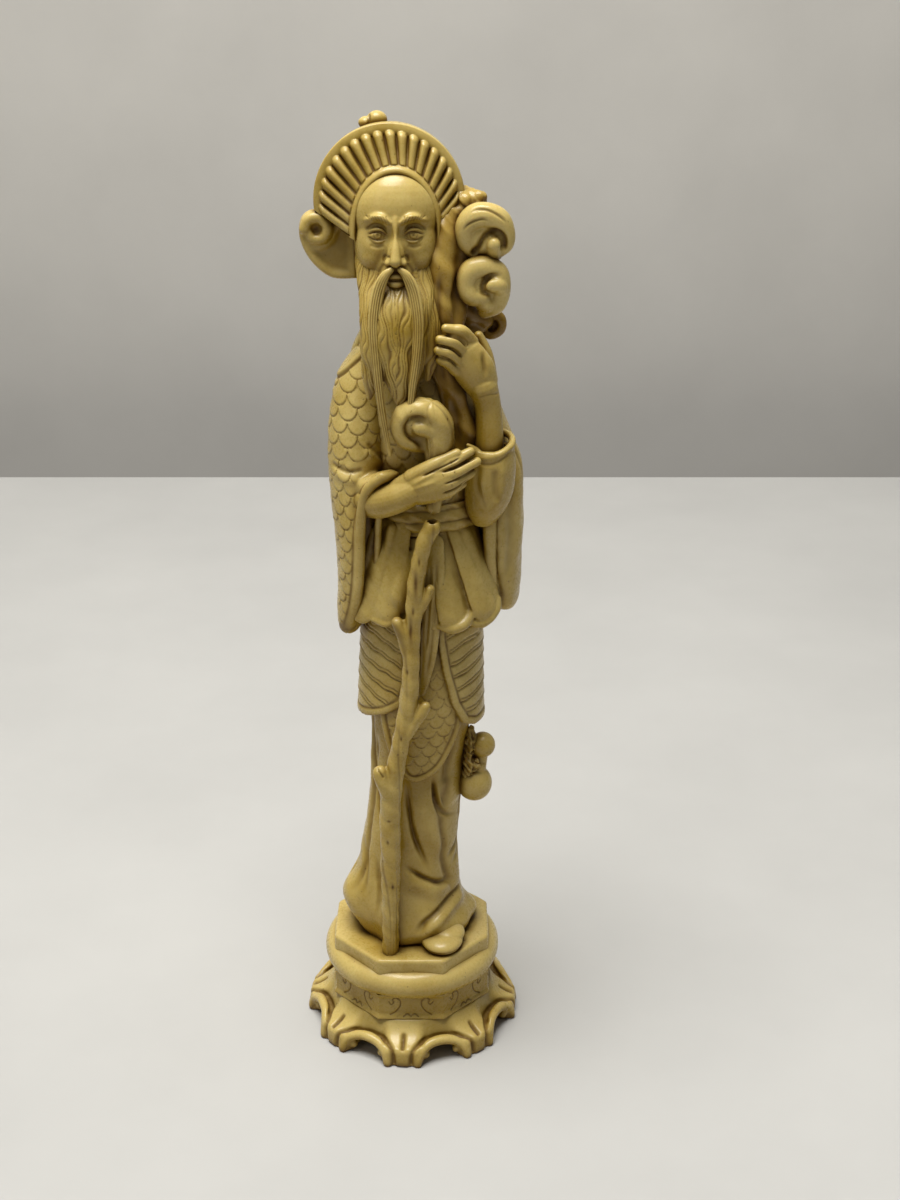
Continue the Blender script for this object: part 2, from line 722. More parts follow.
# %% [markdown]
# ## The robe
# The robe hangs from the waist to the pedestal and swings out a little at the hem, where it lifts over
# the toe of one shoe. It is a stack of outlines. Its long folds are cut and swelled afterwards: sharp deep
# grooves in front, as on the real one, and softer ones round the sides and the back.

# %% Robe
LEVEL = 29.5  # the top of the pedestal
robe_keys = [
    (0.0, 0.2, 29.5, 16.8, 15.2), (0.04, 0, 33.0, 18.2, 15.6), (-2.2, 0, 38.5, 16.8, 14.6),
    (-1.2, 0, 48.5, 14.7, 13.4), (-0.4, 0, 58.0, 13.6, 12.6), (1.0, 0, 69.5, 13.1, 12.2),
    (2.0, 0, 83.5, 13.3, 12.2), (2.8, 0, 95.5, 13.8, 12.4), (3.2, 0, 113.5, 13.8, 12.0),
    (3.9, 0, 132.5, 13.0, 11.6), (4.6, 0, 150.0, 12.6, 11.4),
]


def turned_by(angle, middle):
    """The angle from a middle direction, between -pi and pi."""
    return np.mod(angle - middle + math.pi, FULL_TURN) - math.pi


def robe_shape(angle, z, share):
    low = 1 - smooth(share, 0.1, 0.55)
    folds = 0.75 * np.sin(5 * angle + 3.2 * share + 0.6) * np.cos(2 * angle + 0.6)
    folds += 0.35 * np.sin(9 * angle - 5 * share) * (0.4 + 0.6 * low)
    toe = bell(turned_by(angle, FRONT + 0.62), 0.42)
    wing = bell(turned_by(angle, math.pi + 0.25), 0.45)
    out = (0.25 + 0.75 * low) * folds - 0.5 + 2.0 * toe * bell(z - 37, 6)
    out += wing * (2.2 * bell(z - 41.5, 5) - 2.0 * bell(z - 30, 4.5))
    rim = 0.5 * np.sin(7 * angle + 1) + 0.6
    lift = (3.4 * toe + np.maximum(rim, 0) * 0.5) * (1 - smooth(share, 0, 0.05))
    return out, lift


robe = rolled("robe_with_folds", upright(robe_keys, 270, 300, robe_shape))
front_grooves = [
    [(-10.8, 104), (-10.5, 96.9), (-10.4, 84.9), (-9.2, 74.2), (-8.0, 68.1), (-6.6, 58)],
    [(-0.8, 80.6), (-0.3, 71.8), (0.7, 64.9), (2.7, 57.9), (5.2, 51.5)],
    [(6.3, 82), (6.8, 75.4), (8.1, 70.7), (10.4, 67.3), (13.2, 66.5)],
    [(-2.1, 54.6), (2.0, 51.1), (7.4, 48.0), (12.6, 44.9)],
]
creases = [
    [(14.0, 60), (12.3, 55.8), (9.8, 52.6)], [(14.4, 57.2), (12.9, 52.7), (11.0, 49.9)],
    [(-13.5, 60), (-12.4, 50), (-13.2, 42)],
    [(-9.6, 56), (-8.6, 46), (-9.4, 37)], [(-5.6, 84), (-4.9, 70), (-5.4, 60)],
]
swell(robe, [[(1.6, 77), (3.6, 68), (7.5, 60), (12, 55)], [(-3.4, 78), (-2.6, 66), (0, 57)]], 2.6, 0.7)
swell(robe, [[(-1, 50), (4, 47), (11, 43.6)], [(9.8, 80), (11, 74), (13, 70)]], 2.2, 0.8)
swell(robe, [[(2.6, 31.6), (5.6, 35.6), (10.6, 38.4), (16.6, 39.4)]], 1.5, 1.0)
cut(robe, [[(1.6, 33.6), (4.2, 37.8), (9.6, 41.0), (15.6, 42.4)]], 0.7, 1.0, 0.75, taper=0.25)
cut(robe, front_grooves, 0.65, 1.4, 0.85, taper=0.35)
cut(robe, creases, 0.6, 0.6, 0.5, taper=0.4)
side = [[(y, 92), (y + 1.4, 76), (y + 0.6, 58), (y - 1.6, 42)] for y in (-6, 1, 8)]
cut(robe, side, 0.8, 0.8, 0.6, towards=(-1, 0, 0), plane=(1, 2))
cut(robe, [[(-y, z) for y, z in line] for line in side], 0.8, 0.8, 0.6, towards=(1, 0, 0), plane=(1, 2))
back = []
for x, bend in ((-8, -1), (-3, 0.6), (3, -0.5), (9, 1.2)):
    back.append([(x, 94), (x + bend, 74), (x + 1.6 * bend, 56), (x + 2.4 * bend, 36)])
cut(robe, back, 0.9, 0.9, 0.6, towards=(0, 1, 0))
roughen(robe, (19, 0.16, 0.5), (8, 0.07, 1.2))
hand_over(robe, "robe", worn=-0.25)

# %% [markdown]
# ## The shoe
# Only the plump toe shows under the hem, with a welt round its sole.

# %% Shoe
shoe = clay(
    "shoe_toe",
    [ball((8.6, -13.6, 31.2), (5.8, 6.6, 2.7)), ball((9.6, -11.4, 32.2), (5.4, 5.4, 2.7))],
    0.25, 4,
)
sole = bell(points(shoe)[:, 2] - 30.5, 0.3)
push(shoe, -0.35 * sole)
stand_on(shoe, LEVEL + 0.02)
stain(shoe, 0.7 * sole)
hand_over(shoe, "shoe")

# %% [markdown]
# ## Scale armour
# The sage wears a coat of round scales under the cape. Hundreds of loose scales could be modelled and
# laid in rows, but here they were engraved, each with a thin line under its round end. So the torso is one
# form, and a small function says for every point how proud it stands and how near it is to such a line.

# %% Torso
torso_keys = [
    (4.6, 0, 150, 12.6, 11.4), (4.4, 0, 159.7, 13.6, 12.0), (3.6, 0, 171.6, 15.4, 12.4),
    (2.6, 0.4, 182.4, 16.0, 12.2), (1.6, 1, 192.1, 14.6, 11.0), (0, 1.6, 198.6, 11.4, 9.0),
    (-1.4, 2, 204, 7.0, 6.6),
]


def engrave_scales(piece, across, up, keep=1.0, proud=0.45, line=0.3, row=3.3):
    """Raises scales by proud and cuts a line under each, where keep is 1; a row is this high in mm."""
    height, edge = scales(across, up)
    mark = bell(edge * row, 0.3) * keep
    push(piece, proud * (height - 0.6) * keep - line * mark)
    stain(piece, 0.78 * mark)


torso = rolled("scale_coat", upright(torso_keys, 170, 288))
at = points(torso)
angle = np.arctan2(at[:, 1] - 0.5, at[:, 0] - 3.5)
lean = 0.12 * (at[:, 0] - 3)
engrave_scales(torso, (angle - FRONT) / FULL_TURN * 18, (at[:, 2] - 150 + lean) / 3.3)
hand_over(torso, "torso", worn=0.6)

# %% [markdown]
# ## Belt and sash
# A cloth wound twice round the waist, with slanting creases where it is pulled tight, and one end of it
# that hangs down behind the staff.

# %% Belt
belt_keys = [
    (4.6, 0, 150.1, 13.4, 12.4), (4.6, 0, 151.8, 14.4, 13.5), (4.6, 0, 154.8, 14.5, 13.5),
    (4.6, 0, 158.3, 13.8, 12.6),
]


def belt_level(angle, z):
    """The height above the belt's lower edge, which dips to one side."""
    return z - 150.1 + 1.1 * np.sin(angle - 0.5)


def belt_shape(angle, z, share):
    level = belt_level(angle, z)
    wraps = 0.55 * np.abs(np.sin(math.pi * level / 2.9)) ** 0.7
    creases = 0.22 * np.sin(17 * angle + 1.8 * level) * np.sin(5 * angle + 0.8)
    return wraps + creases - 0.3, 0


belt = rolled("wound_belt", upright(belt_keys, 60, 320, belt_shape))
at = points(belt)
level = belt_level(np.arctan2(at[:, 1], at[:, 0] - 4.6), at[:, 2])
stain(belt, 0.6 * np.maximum(bell(level - 2.9, 0.3), bell(level - 5.8, 0.3)))
hand_over(belt, "belt")

# %% Sash end
sash_line = [
    (7.2, -14.0, 149, 2.2), (6.9, -15.2, 138, 2.7), (6.0, -15.4, 128, 2.5), (5.2, -14.4, 117, 2.0),
    (3.6, -13.5, 107, 1.0),
]
sash = clay("sash_end", [tube(sash_line, rows=40, around=20, flat=0.45)], 0.25, 4)
sash_creases = [[(7.4, 146), (7.1, 134), (6.0, 122), (4.6, 112)], [(5.9, 144), (5.4, 132), (4.6, 120)]]
cut(sash, sash_creases, 0.5, 0.35, 0.3)
hand_over(sash, "sash")

# %% [markdown]
# ## The pleated coat skirt
# Below the belt the coat flares out in broad pleats that stand open at the hem. A pleat is steep on one
# side and shallow on the other, and its outer edge hangs lower. So each outline is a leaning wave that
# grows towards the hem, and the hem rises and falls with it.

# %% Coat skirt halves
COAT_TOP, COAT_HEM = 149.7, 126.2
coat_keys = [
    (4.4, 0.4, COAT_HEM, 19.0, 16.0), (4.4, 0.3, 134, 17.4, 15.4), (4.4, 0.2, 141.9, 15.6, 14.0),
    (4.5, 0, COAT_TOP, 13.6, 12.4),
]


def pleats(angle):
    """A leaning wave: 9 pleats, broad and flat outside with a narrow dark valley."""
    lean = 9 * turned_by(angle, FRONT) + 1.1
    wave = np.sin(lean + 0.55 * np.sin(lean))
    return np.sign(wave) * np.abs(wave) ** 0.75 + 0.18 * np.sin(3 * lean + 0.7)


def coat_half(name, first, last):
    """The half between two angles; outside them it sinks into the robe."""

    def shape(angle, z, share):
        flare = 1 - share
        within = np.mod(angle - first, FULL_TURN) / (last - first)
        shown = smooth(within, 0, 0.02) * (1 - smooth(within, 0.98, 1.0))
        pleat = pleats(angle)
        out = flare * 0.85 * pleat + 0.25
        lift = -(0.9 * pleat - 0.4) * (1 - smooth(share, 0, 0.4)) * shown
        sinking = out * shown - 4.2 * (1 - shown) * (0.5 + flare)
        return np.where(shown > 0, sinking, -3 - 3.6 * flare), lift

    return rolled(name, upright(coat_keys, 84, 360, shape))


def panel(facing, flat, *keys):
    """One pleat laid over the coat: a flat strip that gets broader downwards."""
    return tube(keys, rows=30, around=24, flat=flat, facing=facing)



right_panels = [
    panel((-0.3, -1, 0), 0.25, (-0.4, -12.4, 153, 1.8), (-2.8, -14.3, 141, 2.9), (-5.2, -15.4, 130.6, 3.8)),
    panel((-0.7, -1, 0), 0.25, (-4.6, -10.6, 153, 1.8), (-8.4, -12.3, 141, 2.9), (-11.6, -12.8, 130, 3.6)),
    panel(
        (0, -1, 0), 0.33, (0.8, -13.4, 146, 1.0), (-0.8, -15.2, 140, 1.8), (-1.9, -16.2, 135.2, 2.2),
        (-1.2, -16.2, 131.6, 1.0),
    ),
    panel(
        (-0.8, -0.8, 0), 0.55, (-7.0, -8.6, 153, 2.4), (-10.4, -9.2, 141, 3.2), (-13.2, -9.6, 131.6, 3.4),
    ),
    tube([(-8.4, -10.3, 151, 1.3), (-10.6, -10.3, 143, 1.5), (-12.2, -10.3, 136, 1.5)], rows=20, around=14),
    tube([(-3.6, -11.3, 152, 1.6), (-5.1, -12.0, 145, 1.5), (-6.4, -12.8, 138, 1.2)], rows=20, around=14),
    tube(
        [(-8.6, -14.6, 128.4, 0.8), (-5.4, -16.0, 127.6, 0.9), (-1.8, -16.2, 128.8, 0.8)],
        rows=20, around=14,
    ),
]
left_panels = [
    panel((0.4, -0.9, 0), 0.33, (6.4, -12.2, 153, 1.7), (9.0, -14.3, 140.6, 3.1), (11.6, -15.2, 130, 4.4)),
    panel(
        (0.7, -0.75, 0), 0.33, (10.8, -10.6, 153, 1.6), (15.6, -12.4, 141, 3.0),
        (19.4, -12.4, 131.4, 4.1),
    ),
    panel((1, -0.3, 0), 0.33, (16.0, -4.8, 153, 1.8), (20.4, -6.2, 140, 3.2), (22.8, -5.6, 130.6, 3.8)),
    panel((0.55, -0.8, 0), 0.45, (8.8, -10.4, 153, 2.2), (12.6, -11.6, 141, 3.2), (15.8, -12.0, 132, 3.4)),
    panel((0.85, -0.5, 0), 0.45, (13.8, -7.6, 153, 2.0), (18.4, -8.8, 141, 3.0), (21.4, -8.6, 133, 3.2)),
    tube(
        [
            (8.0, -15.6, 127.2, 1.0), (11.4, -16.2, 126.4, 1.35), (14.6, -15.4, 127.6, 1.45),
            (16.4, -13.8, 130.2, 1.1),
        ],
        rows=24, around=16,
    ),
    tube(
        [
            (16.0, -14.0, 127.6, 1.1), (19.4, -12.7, 126.8, 1.45), (22.2, -10.4, 128.8, 1.4),
            (23.2, -8.6, 131.6, 1.0),
        ],
        rows=24, around=16,
    ),
]
for name, node_name, first, last, panels in (
    ("coat_skirt_pleats_right", "coat_skirt_right", FRONT - math.pi, FRONT - 0.03, right_panels),
    ("coat_skirt_pleats_left", "coat_skirt_left", FRONT + 0.02, FRONT + math.pi, left_panels),
):
    coat = clay(name, [coat_half(name, first, last), *panels], 0.26, 12)
    roughen(coat, (8, 0.12, 0.6), (3.5, 0.05, 1.4))
    hand_over(coat, node_name, worn=-0.1)

# %% [markdown]
# ## Tassets and apron
# Two stiff flaps of overlapping slats lie over the robe, and between them hangs an apron of small scales.
# Each has a plain raised border along its outline. A flap is made as a shell round the whole robe that
# stands proud inside its outline and dives into the robe outside it, which gives the carved step at its
# edge wherever the outline runs.

# %% Tassets
def flap_edge(outline, behind):
    """A function for the distance inside a flap: in front from an outline in X and Z, behind its own."""
    return lambda at: np.where(at[:, 1] < 0, inside(at[:, (0, 2)], outline), behind(at))


def sunk(rings, edge, amount):
    """Rings pushed towards their middles by an amount that depends on the distance inside an edge."""
    depth = edge(rings.reshape(-1, 3)).reshape(rings.shape[:2])
    out = rings - rings.mean(axis=1, keepdims=True)
    out /= np.linalg.norm(out, axis=2, keepdims=True)
    return rings - out * amount(depth)[..., None]


def flap_shell(name, keys, rows, around, edge, sink):
    rings = upright(keys, rows, around)
    return rolled(name, sunk(rings, edge, lambda depth: sink * (1 - smooth(depth, -0.35, 0.45))))


def slats(piece, edge, middle, slope, pitch):
    """Overlapping slats that fall towards the middle, and a plain border."""
    at, out = points(piece), outward(piece)
    depth = edge(at)
    bend = 0.3 * np.sin(0.55 * at[:, 0] + 0.23 * at[:, 2]) + 0.16 * np.sin(1.3 * at[:, 0] - 0.9 * at[:, 2])
    place = np.mod((at[:, 2] - slope * np.abs(at[:, 0] - middle) + bend) / pitch, 1)
    within = smooth(depth, 2.1, 2.5)
    cuts = np.maximum(bell(place * pitch, 0.26), bell((1 - place) * pitch, 0.26))
    mark = np.maximum(cuts, 0.7 * bell((place - 0.24) * pitch, 0.22)) * within
    mark = np.maximum(mark, bell(depth - 2.15, 0.3))
    proud = 0.35 * (1 - place) * within + 0.35 * (1 - within) * smooth(depth, 0, 0.5)
    facing = smooth(np.hypot(out[:, 0], out[:, 1]), 0.5, 0.8)
    push(piece, (proud - 0.42 * mark) * facing)
    stain(piece, 0.8 * mark * facing)


tasset_keys = [
    (3.0, 0, 94.4, 17.0, 14.5), (3.1, 0, 105, 16.7, 14.4), (3.3, 0, 116, 16.3, 14.3),
    (3.5, 0, 127.5, 16.0, 14.1),
]
right_outline = [
    (-40, 95.9), (-18, 96.2), (-14.2, 96.6), (-11.6, 97.4), (-6, 100.0), (-1.2, 103.4), (0.9, 109),
    (1.4, 140), (-40, 140),
]
left_outline = [
    (6.7, 140), (6.9, 130), (7.6, 121), (8.9, 112.8), (11.4, 102.7), (14.1, 96.8), (17.2, 95.0),
    (40, 94.9), (40, 140),
]
right_edge = flap_edge(right_outline, lambda at: np.minimum(at[:, 2] - 95.9, 2.8 - at[:, 0]))
left_edge = flap_edge(left_outline, lambda at: np.minimum(at[:, 2] - 94.9, at[:, 0] - 3.1))
for side, edge, slope, pitch in (("right", right_edge, 0.48, 4.3), ("left", left_edge, 0.3, 4.0)):
    tasset = flap_shell("slatted_tasset_" + side, tasset_keys, 112, 320, edge, 4.4)
    slats(tasset, edge, 3, slope, pitch)
    hand_over(tasset, "tasset_" + side)

# %% Apron
apron_keys = [
    (1.8, 0, 79, 14.7, 13.8), (2.2, 0, 88, 14.9, 13.8), (2.8, 0, 97, 15.2, 13.9),
    (3.0, 0, 112, 15.2, 13.6), (3.4, 0, 127, 14.9, 13.3),
]
apron_outline = [
    (-11.8, 128), (-10.6, 110), (-8.6, 102.3), (-7.5, 95.7), (-6.1, 89.8), (-3.8, 84.6), (-0.9, 81.2),
    (2.8, 80.8), (8.0, 83.8), (11.8, 89.8), (14.2, 96.5), (15.2, 106), (14, 128),
]
apron_edge = flap_edge(curve_through(apron_outline), lambda at: -3 - 0 * at[:, 0])
apron = flap_shell("scaled_apron", apron_keys, 170, 300, apron_edge, 3.2)
at, out = points(apron), outward(apron)
depth = apron_edge(at)
within = smooth(depth, 1.9, 2.2)
rim = bell(depth - 1.9, 0.28) * smooth(-out[:, 1], 0.1, 0.4)
push(apron, 0.3 * smooth(depth, 0.2, 0.7) * (1 - within) - 0.4 * rim)
stain(apron, 0.8 * rim)
engrave_scales(apron, (at[:, 0] - 3.2) / 4.1, (at[:, 2] - 80) / 2.75, within, 0.4, 0.28, 2.75)
hand_over(apron, "apron", worn=-0.15)

# %% [markdown]
# ## Gourd and tie
# A bottle gourd hangs at the hip from a knotted tie. Both of its bellies and the neck between them are
# clay lumps, and the tie is what is left of a broken cord, rough like a torn edge.

# %% Gourd
gourd = clay(
    "bottle_gourd",
    [
        ball((17.5, -2, 74.4), (4.9, 4.6, 5.2)), ball((19.7, -2, 86.0), (3.5, 3.4, 3.6)),
        tube([(18.4, -2, 78.4, 2.3), (19.3, -2, 84, 2.0)], rows=8),
        ball((15.6, -2.2, 81.8), (1.8, 1.8, 3.0)),
    ],
    0.25, 6,
)
cut(gourd, [[(16.6, 80.9), (18.6, 81.3), (20.6, 80.9)]], 0.35, 0.25, 0.5)
hand_over(gourd, "gourd")
tie = clay(
    "cord_tie",
    [
        tube(
            [
                (15.4, -3.2, 77.6, 1.2), (16.4, -4.4, 80.4, 1.5), (15.8, -4.2, 83.6, 1.1),
                (16.5, -3.6, 87.6, 1.3), (16.2, -2.6, 91, 1.0),
            ],
            rows=24,
        ),
        ball((16.9, -4.6, 80.8), (1.7, 1.2, 1.0)), ball((15.4, -4.5, 82.2), (0.9, 0.9, 1.5)),
        ball((16.8, -3.9, 86.4), (1.4, 1.3, 0.9)),
        ball((17.8, -4.4, 82.2), (0.9, 0.8, 0.7)), ball((15.6, -4.0, 88.2), (0.8, 0.8, 1.2)),
    ],
    0.2, 2,
)
rough = waves(points(tie), (2.6, 0.5, 0.2), (1.3, 0.3, 1.1))
push(tie, rough)
stain(tie, 0.3 + 0.6 * smooth(-rough, 0.05, 0.4))
hand_over(tie, "gourd_tie")


# %% [markdown]
# ## The cape
# A short cape lies over both shoulders, open in front of the throat, with a rolled collar. It is a stack of
# outlines like the torso, a little larger, and the opening in front sinks under the scales.

# %% Cape
cape_keys = [
    (3.0, 2.6, 165.1, 15.4, 12.0), (2.8, 2.2, 177, 17.0, 12.6), (2.0, 2.0, 187.8, 16.6, 12.6),
    (1.2, 2.2, 194.8, 15.0, 11.2), (0.0, 2.6, 200.8, 11.0, 8.8), (-1.0, 2.8, 205.1, 7.6, 7.0),
]
opening = [
    (-40, 150), (-40, 168), (-17.6, 185), (-8, 200), (-3, 202), (2, 202), (8, 200), (20, 185), (44, 168),
    (44, 150),
]
cape_edge = flap_edge(curve_through(opening), lambda at: 168 - at[:, 2] - 60 * (at[:, 1] > 1))


def cape_shape(angle, z, share):
    return 0.45 * np.sin(6 * angle + 1.4) * (1 - share) - 0.1 + 0.5 * bell(z - 203, 1.4), 0


rings = upright(cape_keys, 130, 280, cape_shape)
cape = rolled("shoulder_cape", sunk(rings, cape_edge, lambda bare: 3.4 * smooth(bare, -0.4, 0.5)))
hem = bell(cape_edge(points(cape)) + 1.9, 0.3)
push(cape, -0.35 * hem)
stain(cape, 0.7 * hem)
swell(
    cape,
    [[(x, 170), (0.8 * x, 184), (0.5 * x, 198)] for x in (-12, -4, 5, 13)],
    1.8, 0.7, towards=(0, 1, 0),
)
hand_over(cape, "cape")

# %% [markdown]
# ## The wide sleeves
# The right sleeve is scaled outside and ends in a broad plain border that turns from the wrist straight
# down to the hanging tip. Its mouth is hollow. A form with a deep hollow is easiest as clay too: the hollow
# is cut out with a Boolean tool of the same rounded sort, and a second remesh evens the skin.

# %% Right sleeve
def hollow(piece, tool, voxel, rounds=4):
    """Cuts the tool out of the piece and evens its skin again."""
    apply(piece, "BOOLEAN", object=tool, operation="DIFFERENCE", solver="EXACT")
    bpy.data.objects.remove(tool)
    even_skin(piece, voxel, rounds)


sleeve_keys = [
    (-15.6, -5.5, 122.2, 2.4, 4.2), (-14.6, -4.6, 127, 4.0, 7.4), (-13.6, -4.2, 136, 4.6, 9.2),
    (-13.2, -4, 148, 5.4, 10), (-13.1, -3.6, 158, 6.4, 9.8), (-12.2, -3.0, 168, 7.8, 9.5),
    (-11.2, -1.8, 178, 8.4, 9.4), (-9.8, -0.4, 188, 7.8, 8.4), (-7.4, 0.2, 196, 4.8, 6.0),
]
border_line = [
    (-2.6, -15.6, 167.6, 1.0), (-5.6, -16.8, 167.2, 1.4), (-8.8, -16.4, 164.8, 1.5),
    (-10.8, -15.2, 159.6, 1.45), (-11.6, -14.2, 152, 1.4), (-12.0, -13.6, 143, 1.4),
    (-12.8, -12.8, 134, 1.4), (-14.4, -10.8, 127, 1.35), (-16.2, -7.4, 123.4, 1.2),
]
inner_line = [
    (-6.8, -13.8, 158.5, 1.0), (-7.4, -12.6, 152, 1.15), (-7.9, -11.6, 143, 1.15),
    (-8.8, -10.6, 134, 1.1), (-12.2, -8.6, 126, 0.9),
]
sleeve = clay(
    "scaled_sleeve_right",
    [
        rolled("body", upright(sleeve_keys, 60, 64)), tube(border_line, rows=50, around=16),
        tube(inner_line, rows=40, around=14),
        tube([(-4, -13.4, 165.6, 2.6), (-9, -12, 163, 3.6)], rows=8),
    ],
    0.3, 5,
)
mouth = [
    (-6.4, -15.2, 163, 2.0), (-9.4, -13.4, 157, 1.8), (-9.9, -12.3, 148, 1.55), (-10.5, -11.5, 138, 1.45),
    (-12.7, -10.0, 129, 1.1),
]
hollow(sleeve, tube(mouth, rows=30), 0.27)
at, out = points(sleeve), outward(sleeve)
lower = smooth(-(at[:, 2] - 169.5 - 0.3 * (at[:, 0] + 13)), -0.4, 0.4)
gap, _ = distance_to(at, curve_through(np.array(border_line)[:, :3]))
plain_part = smooth(gap, 1.75, 2.1) * (1 - smooth(at[:, 0] + 0.12 * (at[:, 2] - 150), -11.6, -10.9) * lower)
around = 8.2 * np.arcsin(np.clip((at[:, 0] + 12) / 8.2, -1, 1))
mantle = at[:, 2] - 195.4 - 0.95 * (at[:, 0] + 10)
edge_line = np.where(at[:, 0] < -6, mantle, -9)
covered = smooth(edge_line, -0.3, 0.3)
engrave_scales(sleeve, around / 5.2, (at[:, 2] - 150) / 3.3, plain_part * (1 - lower) * (1 - covered))
engrave_scales(
    sleeve, around / 3.9, (at[:, 2] - 120 - 0.3 * at[:, 1]) / 3.0, plain_part * lower, 0.4, 0.28, 3.0,
)
mark = np.maximum(bell(edge_line, 0.3), bell(edge_line - 3.4, 0.3))
push(sleeve, 0.5 * covered - 0.4 * mark, out)
stain(sleeve, 0.75 * mark)
near_mouth, _ = distance_to(at, curve_through(np.array(mouth)[:, :3]))
stain(sleeve, 0.85 * (1 - smooth(near_mouth, 1.7, 2.5)))
stain(sleeve, 0.75 * bell(gap - 1.85, 0.3) * (out[:, 0] < 0.6))
swell(
    sleeve,
    [[(-10.6, 173.2), (-7.8, 170.4), (-4.8, 167.4)], [(-18.6, 166.6), (-14.6, 165.0), (-10.8, 165.4)]],
    1.3, 0.45,
)
cut(
    sleeve,
    [[(-9.6, 174.6), (-6.4, 170.8), (-4.4, 168.6)], [(-19.0, 168.4), (-14.8, 167.2), (-10.6, 167.8)]],
    0.6, 0.45, 0.35,
)
hand_over(sleeve, "sleeve_right", most=95000)

# %% [markdown]
# The left sleeve hangs behind the raised arm. It is smooth, with a few long folds and a rolled hem.

# %% Left sleeve
left_keys = [
    (25.4, 0.8, 126.3, 2.6, 4.4), (25, 1.6, 130, 4.2, 7.4), (24.4, 2, 140, 5.1, 9.0),
    (23.8, 1.6, 150, 6.0, 9.4), (24.0, 1.2, 159, 5.7, 9.2), (23, 1.2, 167.5, 6.0, 8.6),
    (19.6, 1.6, 176, 6.0, 7.8), (15.6, 2, 186, 5.6, 6.6), (11, 2, 195, 4, 5),
]
lining = [
    (20.8, -8.2, 156, 1.5), (20.8, -7.6, 146, 1.6), (21.3, -6.6, 136, 1.5), (23.2, -4.2, 128.8, 1.4),
    (26, -0.6, 127.1, 1.1),
]
sleeve = clay(
    "hanging_sleeve_left",
    [rolled("body", upright(left_keys, 60, 64)), tube(lining, rows=40, around=14)],
    0.3, 6,
)
swell(sleeve, [[(22.6, 164), (23.6, 150), (24.0, 134)], [(27.4, 168), (28.6, 152), (28.2, 138)]], 1.6, 0.6)
cut(sleeve, [[(25.2, 162), (26.2, 150), (25.8, 136)]], 1.2, 0.5, 0.25)
cut(
    sleeve,
    [[(y, 176), (y + 2, 158), (y + 1, 140)] for y in (-3, 3)],
    0.8, 0.7, 0.5, towards=(1, 0, 0), plane=(1, 2),
)
cut(
    sleeve,
    [[(20, 178), (23, 162), (24, 142)], [(16, 184), (19.6, 170), (21, 150)]],
    0.8, 0.7, 0.5, towards=(0, 1, 0),
)
roughen(sleeve, (17, 0.2, 0.8), (7, 0.08, 0.1))
hand_over(sleeve, "sleeve_left")

# %% [markdown]
# ## The cuff of the raised arm
# A bag of cloth has slipped down from the raised wrist. Its rim is rolled over and stands open round the
# forearm, higher behind than in front.

# %% Cuff
cuff_keys = [
    (19.2, -8.2, 152, 2.4, 2.6), (19.8, -8.4, 156, 5.0, 5.4), (20.6, -8.7, 161.2, 6.2, 6.6),
    (20.9, -9.3, 167.4, 6.4, 6.6), (20.9, -9.6, 171.0, 6.2, 6.3), (20.9, -9.7, 173.2, 5.9, 6.0),
]
rim_line = []
for a in np.linspace(0, FULL_TURN, 25):
    x, y = math.cos(a), math.sin(a)
    rim_line.append((20.9 + 5.4 * x, -9.7 + 5.5 * y, 173.5 + 1.5 * y + 1.1 * x, 1.0))
cuff = clay(
    "slipped_cuff",
    [
        rolled("body", upright(cuff_keys, 50, 56)), tube(rim_line, rows=60, around=14),
        tube([(17.2, -13.4, 172.6, 1.5), (15.2, -14.4, 174.8, 0.6)], rows=8),
    ],
    0.27, 5,
)
hollow(cuff, tube([(20.8, -9.9, 169.6, 4.3), (20.8, -9.9, 178, 4.6)], rows=12, around=40), 0.25)
swell(cuff, [[(23.4, 171), (23.8, 164), (21.4, 157)], [(18.6, 168), (19.0, 161), (20.6, 156)]], 1.0, 0.45)
cut(
    cuff,
    [[(18.0, 170), (17.6, 164.4), (20.0, 158)], [(22.0, 169), (22.0, 164), (23.2, 160)]],
    0.8, 0.4, 0.3,
)
cut(cuff, [[(15.8, 171.4), (18.6, 170.3), (21.6, 170.5), (24.4, 171.9), (26.4, 173.6)]], 0.45, 0.25, 0.45)
hand_over(cuff, "cuff_left", worn=-0.1)

# %% [markdown]
# ## The hands
# A hand is a flat palm, four fingers with two bends each, and a thumb. The fingers are laid side by side
# so that the remesh leaves a groove between them, and the grooves and the creases of the knuckles are cut
# deeper afterwards.

# %% Hands
def finger(knuckle, bend, tip, radius):
    """A finger through three places; the last joint leans on along the line from bend to tip."""
    last = [0.45 * b + 0.55 * t for b, t in zip(bend, tip)]
    sizes = (radius * 1.06, radius * 1.04, radius * 0.92, radius * 0.76)
    return tube(
        [(*place, size) for place, size in zip((knuckle, bend, last, tip), sizes)],
        rows=18, around=14,
    )


